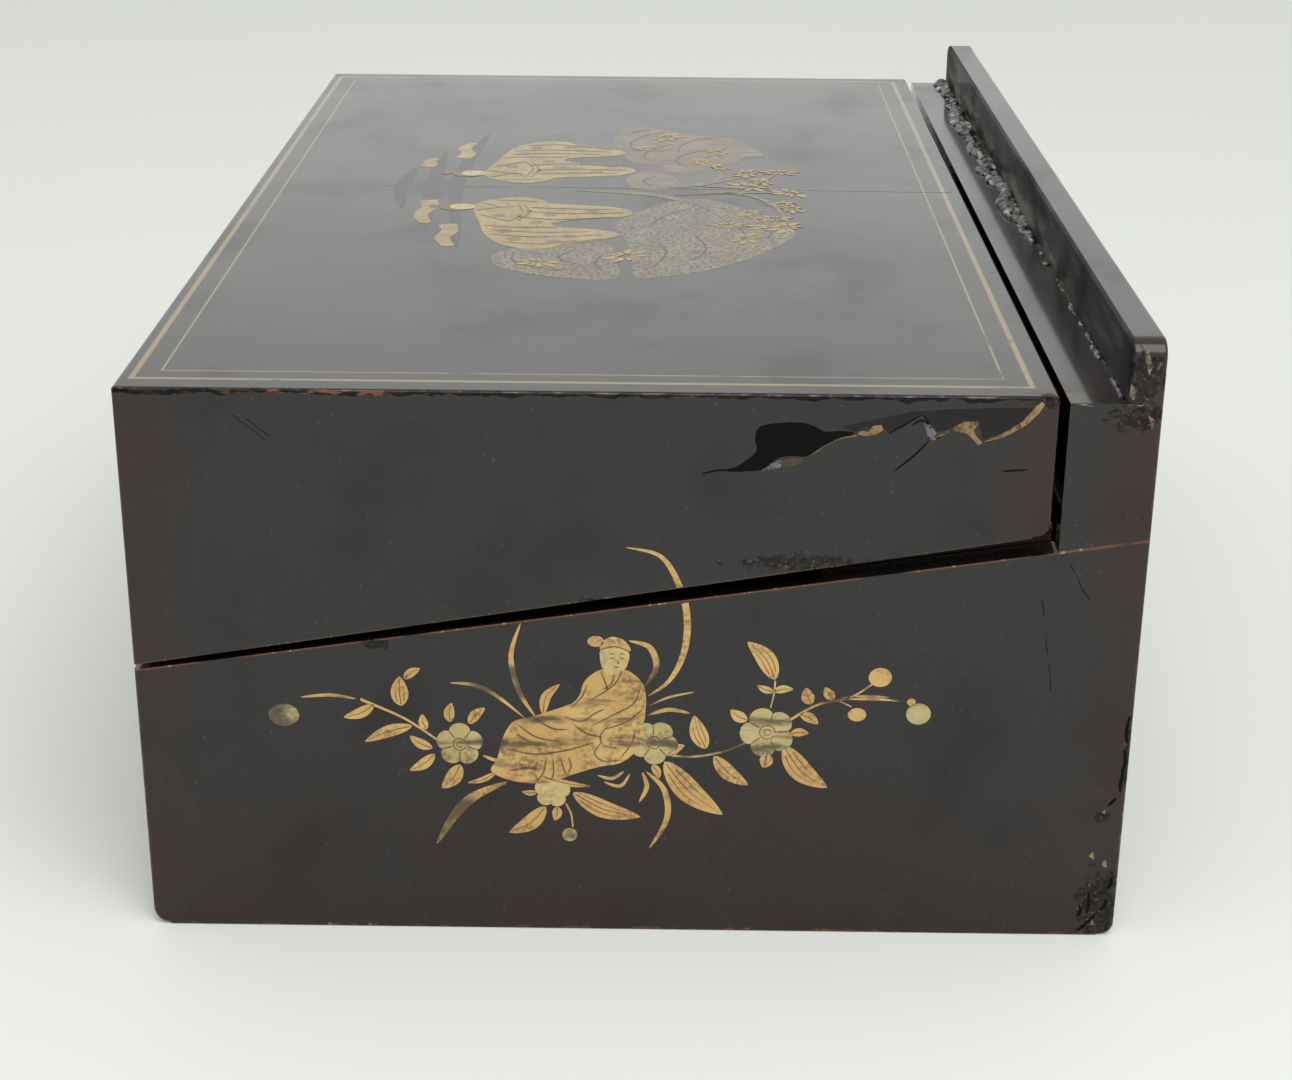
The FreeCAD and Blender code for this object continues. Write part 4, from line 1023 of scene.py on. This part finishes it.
@dataclass
class LidDamage:
    """The torn lacquer near the corner of the lid's end: bare patches, loose flakes and raw edges.

    Its places are millimetres from the hinged edge and from the table.
    """

    ground: Ground

    STRIPPED = (
        (152, 132.7), (155.4, 134.1), (158.9, 136.8), (160, 138.6), (159.5, 141.4), (160.4, 144.2),
        (164, 145.4), (170.5, 145.7), (174.4, 144.6), (177, 143.4), (181, 143.6), (184, 143), (179, 140.6),
        (175, 138), (172.2, 136.8), (168.4, 136.9), (165.2, 136.1), (163, 134.1), (161, 133), (156, 132.6),
    )
    PRIMED = (
        (180.6, 144.6), (188, 146.4), (198, 148.8), (208, 149.6), (220, 150), (229, 150.2), (226.2, 146.6),
        (223, 144.4), (219, 143), (216, 141.8), (214.8, 145.4), (212, 146.4), (208, 144.6), (204.6, 143.6),
        (200.8, 148), (196.4, 145.6), (192.6, 143.2), (190.6, 145.2), (187, 144.8), (184, 143.4),
    )
    SPLITS = (
        ((192.6, 143), (196.6, 145.6), (200.8, 148.2)), ((202.8, 141.4), (199, 137.2), (194.2, 133)),
        ((200.8, 148.2), (202.8, 145), (203.8, 142)), ((203.2, 144.8), (200.6, 146.6), (198.2, 145.2)),
        ((221.4, 133.4), (224.6, 133.7), (227.8, 133.9)), ((146.4, 131.8), (151, 132.9), (157, 132.6)),
    )
    LOOSE = (
        ((161.2, 132.8), (163.8, 134.9), (166, 135.8), (166.2, 133.9)),
        ((201, 146.4), (202.6, 145.6), (204.4, 143.4), (203.7, 141.9), (202.2, 142.6)),
    )
    RAW = (
        ((165.4, 135.2), (168.3, 136.5), (172, 136.6), (171.3, 135), (167.6, 133.8)),
        ((184.8, 142.9), (185.8, 143.7), (187.5, 143.5), (188.7, 145.1), (190.7, 145.3), (191.2, 144),
         (189.4, 142.8), (187, 142.4)),
        ((202.6, 141.8), (204.1, 141.5), (204.9, 142.8), (206.9, 144.2), (207.7, 143.7), (206.2, 142.7),
         (204.4, 142.2)),
        ((208.1, 144.6), (210.8, 146.4), (214.5, 146.6), (214.8, 145.6), (213.4, 144.3), (214.4, 142.5),
         (216, 140.9), (214.8, 140.4), (213, 142.4), (211.8, 143.4), (209.3, 143.8)),
        ((216.1, 141.2), (219.3, 142.6), (222.5, 144.5), (225.6, 146.8), (228.6, 150.6), (229.9, 151.8),
         (230.7, 151.2), (229.5, 149), (226.6, 145.8), (223.4, 143.8), (220, 142)),
    )
    TORN = ((172.4, 136.4), (176.5, 139.3), (180.5, 141.6), (184.8, 142.5))

    def build(self) -> None:
        """Lays the damage on the lid's end."""
        bare = GoldPaint(Tone.BARE, coat=0.0, sheen=0.1)
        raw = GoldPaint(Tone.RAW, faded=True, coat=0.1, sheen=0.3)
        torn = Stroke(self.TORN, 0.4, pointed=False)
        self.ground.paint_all(
            ("stripped_patch", [Patch(self.STRIPPED, 4)], bare, 1),
            ("primed_patch", [Patch(self.PRIMED)], GoldPaint(Tone.PRIMER, coat=0.0, sheen=0.3), 2),
            ("lacquer_splits", [Stroke(split, 0.4) for split in self.SPLITS], bare, 4),
            ("loose_flakes", [*map(Patch, self.LOOSE)], GoldPaint(Tone.LOOSE), 3),
            ("raw_edges", [*map(Patch, self.RAW), torn], raw, 5),
        )


@dataclass
class CornerDamage:
    """Chips at the back corner of the body's end and at the end of the rail.

    Its places are millimetres from the hinged edge and from the table.
    """

    ground: Ground

    SPLITS = (
        ((252.4, 6.2), (252.8, 9.4), (252.4, 13.2)), ((251.9, 3.4), (253.4, 4.4), (254.9, 6.4)),
        ((250.3, 0.9), (251.4, 2.2), (252.7, 3.2)), ((257, 14.2), (258.1, 15.4), (258.2, 18.2)),
        ((255.8, 7.4), (257, 8.8), (257.3, 11.4)), ((249.8, 5.4), (250.6, 7.2), (250.2, 9.2)),
        ((258.4, 43.4), (258.2, 46), (258.8, 49.6)), ((258.2, 48.6), (258.9, 52.6), (258.3, 56.4)),
        ((258.9, 57.8), (258.5, 61.4), (258.9, 66)), ((255.4, 39.4), (256.4, 40.4), (257.6, 41.8)),
    )
    CHIPS = (
        ((253.5, 166), (255, 165), (256.4, 161.4), (255.6, 158.6), (254.9, 161.4)),
        ((251.4, 156.8), (252.9, 154.9), (252.5, 152.4), (251.3, 153.4)),
        ((249.8, 151.3), (254, 150.9), (257, 151.2)), ((256.4, 148.6), (258.4, 147.2), (257.5, 144.9)),
        ((255.3, 21.4), (256.1, 24.6), (256.7, 20.6)), ((238.4, 151.2), (243, 150.7), (240.4, 151.4)),
        ((252.9, 3), (254.2, 4.8), (254.8, 2.9)),
    )
    RAW = (((254, 37.4), (254.8, 38.3), (255, 37)), ((251.6, 24.2), (252.7, 25.6), (253, 23.2)))

    def build(self) -> None:
        """Lays the chips on the body's end."""
        bare = GoldPaint(Tone.BARE, coat=0.0, sheen=0.1)
        chipped = GoldPaint(Tone.FLAKE, speckled=True, coat=0.1, sheen=0.3)
        self.ground.paint_all(
            ("corner_splits", [Stroke(split, 0.9) for split in self.SPLITS], bare, 1),
            ("corner_chips", [*map(Patch, self.CHIPS)], chipped, 2),
            ("corner_raw_spots", [*map(Patch, self.RAW)], GoldPaint(Tone.RAW, coat=0.1, sheen=0.3), 2),
        )


@dataclass
class TopMedallion:
    """The oval picture on the lid: robed figures under pennants, with hills, an old tree and sand.

    Its places are millimetres from its middle, and its top points to the lid's hinged edge.
    """

    ground: Ground

    FAN_LEAVES = 9
    HALF_WIDTH = 107.0
    HALF_HEIGHT = 69.0
    SANDS = (
        ((-103, 14), (-92, 30), (-76, 30), (-68, 14), (-66, -2), (-84, -5), (-105, -5)),
        ((-64, -8), (-44, -4), (-24, -12), (-8, -26), (-12, -38), (-28, -50), (-50, -60), (-68, -54),
         (-88, -40), (-101, -24), (-106, -12), (-86, -10)),
    )
    HILLS = (
        ((44, -8), (60, -4), (76, 0), (98, -4), (102, -12), (92, -26), (84, -42), (70, -50), (58, -54),
         (52, -46), (44, -44), (38, -34), (28, -30), (30, -20), (40, -18)),
        ((4, -12), (18, -6), (30, -12), (24, -22), (10, -24)),
    )
    RIDGES = (
        ((44, -16), (54, -12), (66, -15), (74, -22)), ((64, -8), (76, -7), (88, -12), (94, -19)),
        ((38, -27), (48, -23), (60, -28), (66, -37)), ((60, -24), (72, -25), (82, -31), (86, -38)),
        ((52, -40), (60, -37), (70, -42)), ((10, -15), (17, -12), (24, -16)),
        ((92, -7), (96, -10), (98, -14)), ((46, -34), (52, -33), (56, -36)),
        ((78, -17), (84, -18), (89, -23)),
    )
    SHORES = (
        ((-97, 10), (-89, 24), (-78, 26)), ((-90, 6), (-82, 12), (-74, 8)),
        ((-92, -16), (-76, -20), (-62, -17)), ((-84, -28), (-70, -32), (-52, -28)),
        ((-66, -42), (-52, -44), (-36, -40)), ((-44, -14), (-30, -20), (-20, -28)),
        ((-58, -51), (-46, -53), (-38, -50)), ((-98, -2), (-88, 1), (-78, -1)),
    )
    ROBE = (
        (-20, 42), (-30, 41), (-42, 38.6), (-56, 36), (-67, 31), (-73, 22), (-70, 13), (-64, 5), (-58, -4),
        (-53, -5), (-49, 2), (-47, 11), (-43, 16), (-38.6, 12), (-35, 3), (-32, -7), (-26, -9), (-20.6, -4),
        (-18, 7), (-16, 17), (-11, 21), (-8, 28), (-10, 34), (-14, 39.4),
    )
    FOLDS = (
        ((-26, 41), (-22.6, 35), (-20.4, 29)), ((-16, 40), (-19, 36), (-22, 33.4)),
        ((-45, 37), (-47, 27), (-47, 14)), ((-56, 34), (-58.6, 20), (-56, 0)),
        ((-65, 30), (-67, 18), (-62, 7)), ((-51, 34), (-53, 20), (-52, 4)), ((-34, 27), (-37, 14), (-33, -3)),
        ((-27, 25), (-29, 12), (-28, -6)), ((-21.4, 24), (-23, 12), (-23.6, -3)),
        ((-39, 29), (-29, 26), (-17, 28)), ((-39, 27), (-29, 24), (-16.6, 26)),
        ((-12, 36), (-12.6, 29), (-14, 22)), ((-31, 39.6), (-37, 33), (-40, 29)),
        ((-70, 14), (-65, 8.6), (-60, 0)),
    )
    CRESTS = (
        (-61.5, 26.5), (-57.4, 10), (-40.4, 21), (-52, 30), (-25.4, 4), (-31, 17), (-64, 14.4),
        (-32.4, 33.4),
    )
    HEAD = (-21.4, 46.2)
    FEATURES = ((-2.2, -0.7, 0.6, 0.2), (0.7, 2.2, 0.6, 0.2), (-0.6, 0.6, -2.6, 0.25))
    FIGURES_APART = 4
    POLES = (((92, 45), (12, 50), (-74, 43)), ((60, 58), (8, 58), (-52, 55)), ((34, 66), (4, 68), (-24, 65)))
    PENNANTS = (
        Stroke(((34.4, 63), (38, 61.6), (43, 62.4), (47, 60.6)), 5.4, pointed=False),
        Stroke(((48, 51.6), (56, 50), (64, 52), (73, 49.4)), 5.8, pointed=False),
        Stroke(((-13, 57.6), (-22, 56), (-32, 58), (-43, 55.4)), 6.0, pointed=False),
        Stroke(((-44, 48.6), (-52, 47), (-61, 48.6), (-71, 45.6)), 6.0, pointed=False),
    )
    TRUNKS = (
        ((2, 10), (0, -6), (-4, -18), (-14, -30), (-22, -42)), ((6, -6), (9, -16), (12, -30), (24, -46)),
    )
    BRANCHES = (
        ((-4, -20), (0, -42), (-14, -54), (-44, -59)), ((11, -27), (10, -46), (30, -58)),
        ((-2, -30), (2, -50), (0, -63)), ((-12, -28), (-26, -36), (-40, -40)),
        ((-18, -37), (-30, -46), (-40, -49)), ((14, -34), (22, -38), (34, -38)),
    )
    TWIGS = (
        (-44, -57), (31, -58), (17, -52), (-26, -46), (1, -61), (29, -47), (-42, -39), (62, -38), (86, -20),
        (66, -14), (46, -32), (-14, -57), (10, -47), (-58, -44), (-33, -54), (38, -38), (-80, -8), (-88, 18),
        (-20, -60), (-44, -48),
    )

    def reach(self, point: Point) -> float:
        """How far out a point lies, where 1 is the oval's edge."""
        return math.hypot(point[0] / self.HALF_WIDTH, point[1] / self.HALF_HEIGHT)

    def fan(self, centre: Point, longest: float, turn: float) -> list[Leaf]:
        """Leaves that spread from the end of a twig.

        Args:
            centre: The twig's end.
            longest: Length of the longest leaf.
            turn: Direction of the first leaf in radians.

        Returns:
            The leaves, without those that would lie outside the oval.
        """
        leaves = []
        for i in range(self.FAN_LEAVES):
            angle = turn + i * 2 * math.pi / self.FAN_LEAVES
            length = longest * (0.75 + 0.25 * math.sin(5 * i + turn))
            stalk, tip = around(centre, 0.3 * length, angle), around(centre, length, angle)
            if self.reach(tip) < 1:
                leaves.append(Leaf(stalk, tip, length * 0.3))
        return leaves

    def mass(self, points: Sequence[Point]) -> Patch:
        """A smooth shape, drawn in to the oval's edge where it would lie outside it."""
        outline = Patch(points, 6).outline()
        shares = [1 / max(self.reach(point), 1) for point in outline]
        return Patch([(x * share, y * share) for (x, y), share in zip(outline, shares)])

    def build(self) -> None:
        """Paints the picture."""
        polished = {"coat": 0.9, "sheen": 0.1}
        sand = GoldPaint(Tone.SAND, speckled=True, **polished)
        hill = GoldPaint(Tone.FOLIAGE, streaks=True, rubs=(), **polished)
        silk, shade, line, pale = (
            GoldPaint(tone, **polished) for tone in (Tone.SILK, Tone.BROWN, Tone.LINE, Tone.PALE)
        )
        fans = [self.fan(twig, 8.5 - i % 4, i * 1.3) for i, twig in enumerate(self.TWIGS)]
        self.ground.paint_all(
            ("picture_sand", [self.mass(sands) for sands in self.SANDS], sand, 1),
            ("picture_hills", [self.mass(hills) for hills in self.HILLS], hill, 1),
            ("picture_poles", [Stroke(pole, 5.0) for pole in self.POLES], shade, 1),
            ("picture_pennants", self.PENNANTS, silk, 2),
            ("picture_contours", [Stroke(run, 0.8) for run in (*self.RIDGES, *self.SHORES)], shade, 2),
            ("picture_trunks", [Stroke(run, 4.4) for run in self.TRUNKS], hill, 2),
            ("picture_branches", [Stroke(run, 2.0) for run in self.BRANCHES], hill, 3),
            ("picture_leaves", [leaf for fan in fans for leaf in fan], silk, 4),
            ("picture_hair", self.on_both(self.hair), line, 3),
            ("picture_robes", self.on_both(lambda place: [Patch([*map(place, self.ROBE)], 6)]), silk, 2),
            ("picture_robe_flowers", self.on_both(self.crests), hill, 3),
            ("picture_folds", self.on_both(self.folds), line, 4),
            ("picture_faces", self.on_both(lambda place: [Spot(self.head(place, -0.6), 3.5, 1.2)]), pale, 4),
            ("picture_features", self.on_both(self.features), line, 5),
        )

    def on_both(self, draw: Callable) -> list[Shape]:
        """Draws on the near figure and on the far one, who sits facing the other way.

        Args:
            draw: Makes one figure's shapes with a function that puts a point in its place.

        Returns:
            The shapes on both.
        """
        near, far = draw(lambda point: point), draw(lambda point: (self.FIGURES_APART - point[0], point[1]))
        return [*near, *far]

    def head(self, place: Callable, height: float, across: float = 0.0) -> Point:
        """A point on a figure's head, with its distances above and beside the head's middle."""
        x, y = place(self.HEAD)
        return (x + across, y + height)

    def hair(self, place: Callable) -> list[Spot]:
        """A figure's hair and topknot."""
        return [Spot(self.head(place, 1.4), 5.0, 1.1), Spot(self.head(place, 8.8, 0.4), 2.2, 0.8)]

    def crests(self, place: Callable) -> list[Blossom]:
        """The small flowers on a figure's robe."""
        return [Blossom(place(centre), 2.3) for centre in self.CRESTS]

    def folds(self, place: Callable) -> list[Stroke]:
        """The lines of a figure's robe."""
        return [Stroke([*map(place, fold)], 0.7) for fold in self.FOLDS]

    def features(self, place: Callable) -> list[Stroke]:
        """A figure's closed eyes and mouth."""
        strokes = []
        for left, right, height, width in self.FEATURES:
            spots = ((left, height), ((left + right) / 2, height - 0.2), (right, height))
            strokes.append(Stroke([self.head(place, up, across) for across, up in spots], width))
        return strokes


@dataclass
class FootCrust:
    """Lumps of old glue left along the foot of the rail, thick at the far end and thin at the near one.

    It runs along X, in the corner between the ledge and the rail.
    """

    ledge_top: float
    rail_face: float
    half_length: float
    lumps: int = 190
    gaps_far: float = 0.25
    gaps_near: float = 0.72
    voxel: float = 0.4 * MM
    roughened: float = 1.6 * MM

    def build(self) -> None:
        """Builds the crust as one lumpy mesh."""
        shuffle = random.Random(11)
        pieces = []
        for i in range(self.lumps):
            along = (i + shuffle.random()) / self.lumps
            if shuffle.random() < (self.gaps_far if along < 0.6 else self.gaps_near):
                continue
            x = -self.half_length + 2 * self.half_length * along
            thick = min(max((0.66 - along) / 0.12, 0.1), 1.0)
            size = shuffle.uniform(0.7, 3.2) * (0.25 + 0.75 * thick) * MM
            y = self.rail_face - shuffle.uniform(-0.4, 4.4) * (0.1 + 0.9 * thick) * MM
            stretch, height = shuffle.uniform(1.2, 3.2) / (0.4 + 0.6 * thick), shuffle.uniform(0.25, 0.75)
            bpy.ops.mesh.primitive_ico_sphere_add(subdivisions=2, radius=size)
            lump = bpy.context.object
            place = Matrix.Translation((x, y, self.ledge_top + size * 0.1))
            lump.data.transform(place @ Matrix.Diagonal((stretch, 1.0, height, 1.0)))
            pieces.append(lump)
        bpy.ops.object.select_all(action="DESELECT")
        for lump in pieces:
            lump.select_set(True)
        bpy.context.view_layer.objects.active = pieces[0]
        bpy.ops.object.join()
        crust = bpy.context.object
        crust.name = "foot_crust"
        remesh = crust.modifiers.new("fused", "REMESH")
        remesh.mode = "VOXEL"
        remesh.voxel_size = self.voxel
        bpy.ops.object.modifier_apply(modifier=remesh.name)
        grain = bpy.data.textures.new("crust_grain", "CLOUDS")
        grain.noise_scale = 2.2 * MM
        rough = crust.modifiers.new("rough", "DISPLACE")
        rough.texture = grain
        rough.texture_coords = "LOCAL"
        rough.strength = self.roughened
        bpy.ops.object.modifier_apply(modifier=rough.name)
        bpy.ops.object.shade_smooth()
        crust.data.materials.append(CrustFinish().build())
        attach(crust, "box_body")
        log.info("foot_crust: %d lumps", len(pieces))


# The box


BODY_RIM = Rim(front=0.07575, angle=8.6, outward=1)
LID_RIM = Rim(front=0.07725, angle=9.4, outward=-1)
PICTURE_MIDDLE = (-0.003, -0.013)
CRUST_SHORT_OF_END = 0.003
ALONG_X, ALONG_Y, ALONG_Z = (Vector(axis) for axis in ((1, 0, 0), (0, 1, 0), (0, 0, 1)))


def dress(nodes: tuple[str, ...], material: bpy.types.Material) -> None:
    """Gives CAD nodes their finish.

    Args:
        nodes: The nodes' names.
        material: The finish that they share.
    """
    for name in nodes:
        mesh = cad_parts[name].data
        mesh.materials.clear()
        mesh.materials.append(material)
        log.info("%s: %s", name, material.name)


@dataclass
class Case:
    """The body of the box, with its ledge, its rail and what is fixed inside it."""

    front: Vector
    back: Vector

    def build(self) -> None:
        """Dresses the case's boards and fittings."""
        near = self.back[0]
        cracks = (
            Crack((near, 0.104, 0.0986), (near, 0.1077, 0.0732), 0.0003),
            Crack((near, 0.1101, 0.1083), (near, 0.116, 0.0987), 0.0003),
        )
        bruises = (
            Bruise((near, 0.1255, 0.009), (0.003, 0.0062, 0.013)),
            Bruise((near, 0.1243, 0.036), (0.003, 0.002, 0.002)),
            Bruise((near, 0.1296, 0.054), (0.003, 0.0016, 0.012)),
            Bruise((near, -0.067, 0.0842), (0.003, 0.0045, 0.0016)),
            Bruise((near, 0.124, 0.148), (0.006, 0.008, 0.0042)),
        )
        ends = BlackLacquer("case_lacquer", self.front, self.back, BODY_RIM, cracks, bruises)
        shell = ("base_panel", "body_front_wall", "body_back_wall", "body_left_end", "body_right_end")
        dress((*shell, "riser_board", "tray_divider"), ends.build())
        low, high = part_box("gallery_rail")
        low.z = 0.0
        bruises = (Bruise((near, 0.1255, 0.158), (0.005, 0.0052, 0.009)),)
        rail = BlackLacquer(
            "rail_lacquer", low, high, bruises=bruises, rubbed_inside=True, cast_and_shade="#33201a", roughness=0.3
        )
        dress(("gallery_rail",), rail.build())
        low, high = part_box("ledge_board")
        inner = BlackLacquer("ledge_lacquer", low, high, black="#1d1917", roughness=0.24)
        dress(("ledge_board",), inner.build())
        dress(("upper_flap_bearers", "tray_bearers"), SoftwoodFinish("case_softwood").build())


@dataclass
class Lid:
    """The lid, with its ruled top."""

    low: Vector
    high: Vector

    def build(self) -> None:
        """Dresses the lid's boards."""
        near, split = self.high[0], self.high[2]
        cracks = (
            Crack((near, -0.1019, 0.1473), (near, -0.0924, 0.1396), 0.0003),
            Crack((near, -0.097, 0.1452), (near, -0.0915, 0.1408), 0.0003),
            Crack((-0.0088, -0.087, split), (-0.0095, -0.0286, split), 0.0005),
            Crack((-0.0095, -0.0286, split), (-0.0072, 0.101, split), 0.0007),
        )
        bruises = (
            Bruise((near, 0.041, 0.1082), (0.003, 0.017, 0.0026)),
            Bruise((near, -0.0105, 0.0967), (0.003, 0.005, 0.0012)),
            Bruise((near, 0.102, 0.1518), (0.004, 0.003, 0.002)),
        )
        damage = {"cracks": cracks, "bruises": bruises, "chipped_top": True, "wear": 0.4}
        finish = BlackLacquer("lid_lacquer", self.low, self.high, LID_RIM, ruled=RuledLines(), **damage)
        boards = ("lid_top_panel", "lid_front_wall", "lid_back_wall", "lid_left_end", "lid_right_end")
        dress(boards, finish.build())
        dress(("lower_flap_bearers",), SoftwoodFinish("lid_softwood").build())


@dataclass
class Flaps:
    """The two leather-covered flaps of the writing slope."""

    names: tuple[str, str] = ("upper_flap", "lower_flap")

    def build(self) -> None:
        """Dresses each flap's board and leather."""
        for name in self.names:
            low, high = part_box(f"{name}_board")
            dress((f"{name}_board",), BlackLacquer(f"{name}_lacquer", low, high, roughness=0.3).build())
            low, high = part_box(f"{name}_leather")
            dress((f"{name}_leather",), SkiverFinish(f"{name}_skiver", low, high).build())


@dataclass
class Fittings:
    """Hinges, pins, screws, nails and knobs, which are all of one brass."""

    endings: tuple[str, ...] = ("_leaf", "_leaves", "_pins", "_screws", "_nails", "_knob")

    def build(self) -> None:
        """Dresses every brass node."""
        names = tuple(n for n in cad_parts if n.endswith(self.endings))
        dress(names, BrassFinish().build())


@dataclass
class Tray:
    """The lift-out tray with the ink stone and the water dropper in it."""

    parts: tuple[str, ...] = ("floor", "front_wall", "back_wall", "left_end", "right_end", "partitions")

    def build(self) -> None:
        """Dresses the tray and what it holds."""
        low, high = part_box("tray_floor")
        high.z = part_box("tray_back_wall")[1].z
        finish = BlackLacquer("tray_lacquer", low, high, black="#1c1310", cast_and_shade="#3a1d14", roughness=0.32)
        walls = tuple(f"tray_{part}" for part in self.parts)
        dress((*walls, "brush_rests"), finish.build())
        dress(("ink_stone",), SlateFinish().build())
        dress(("water_dropper",), CopperFinish().build())


# Studio


@dataclass
class Studio:
    """Plain pale floor, soft light and the camera."""

    eye: Vector = Vector((0.7454, 0.0067, 0.3334))
    pitch: float = 22.11
    yaw: float = -0.43
    roll: float = -0.49
    lens: float = 64.28

    def build(self) -> None:
        """Sets up the floor, the lights and the camera."""
        self.add_floor()
        self.add_world()
        self.add_lamp("overhead_softbox", (1.2, 0.35, 1.7), 1.5, 24.0)
        self.add_camera()
        bpy.context.scene.view_settings.view_transform = "Standard"

    def add_floor(self) -> None:
        """Adds the floor that the box stands on."""
        bpy.ops.object.select_all(action="DESELECT")
        bpy.ops.mesh.primitive_plane_add(size=12.0)
        floor = bpy.context.object
        floor.name = "floor"
        floor.location.z = -0.0003
        surface = Surface("pale_paper")
        colour = surface.blend(surface.grain(0.6, 2.0), "#e6e7e4", "#e1e3df")
        floor.data.materials.append(surface.finish(colour, 0.9, Specular_IOR_Level=0.1))

    def add_world(self) -> None:
        """Gives the room its even pale light."""
        world = bpy.data.worlds.new("pale_room")
        world.use_nodes = True
        background = world.node_tree.nodes["Background"]
        background.inputs["Color"].default_value = linear("#f4f6f3")
        background.inputs["Strength"].default_value = 0.85
        bpy.context.scene.world = world

    def add_lamp(self, name: str, place: tuple[float, float, float], size: float, power: float) -> None:
        """Adds a square soft lamp that points at the box.

        Args:
            name: Its name.
            place: Where it hangs.
            size: Its width in metres.
            power: Its power in watts.
        """
        bpy.ops.object.light_add(type="AREA", location=place)
        lamp = bpy.context.object
        lamp.name = name
        lamp.data.size = size
        lamp.data.energy = power
        lamp.rotation_euler = (-Vector(place)).to_track_quat("-Z", "Y").to_euler()

    def add_camera(self) -> None:
        """Adds the camera, which looks along the box from its end."""
        pitch, yaw, roll = (math.radians(a) for a in (self.pitch, self.yaw, self.roll))
        level = math.cos(pitch)
        forward = Vector((-math.cos(yaw) * level, math.sin(yaw) * level, -math.sin(pitch)))
        right = Vector((math.sin(yaw), math.cos(yaw), 0.0))
        down = forward.cross(right)
        turned_right = math.cos(roll) * right + math.sin(roll) * down
        turned_down = math.cos(roll) * down - math.sin(roll) * right
        bpy.ops.object.camera_add()
        camera = bpy.context.object
        camera.matrix_world = Matrix.Translation(self.eye) @ Matrix(
            (turned_right, -turned_down, -forward)
        ).transposed().to_4x4()
        camera.data.lens = self.lens
        camera.data.sensor_width = 36.0
        bpy.context.scene.camera = camera


def main() -> None:
    """Builds the looks in order."""
    logging.basicConfig(level=logging.INFO, format="%(message)s")
    front_low, back_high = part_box("body_front_wall")[0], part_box("body_back_wall")[1]
    lid_low, lid_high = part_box("lid_top_panel")
    rail_low, rail_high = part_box("gallery_rail")
    Case(Vector((*front_low.xy, 0.0)), Vector((*back_high.xy, rail_high.z))).build()
    Lid(Vector((*lid_low.xy, LID_RIM.front)), lid_high).build()
    Flaps().build()
    Fittings().build()
    Tray().build()
    corner = Vector((lid_high.x, lid_low.y, 0.0))
    body_end, lid_end = (Ground(body, corner, ALONG_Y, ALONG_Z) for body in ("box_body", "lid"))
    EndSpray(body_end, lid_end).build()
    LidDamage(lid_end).build()
    CornerDamage(body_end).build()
    FootCrust(rail_low.z, rail_low.y, rail_high.x - CRUST_SHORT_OF_END).build()
    TopMedallion(Ground("lid", Vector((*PICTURE_MIDDLE, lid_high.z)), -ALONG_X, -ALONG_Y)).build()
    Studio().build()
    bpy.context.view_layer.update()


if __name__ == "__main__":
    main()
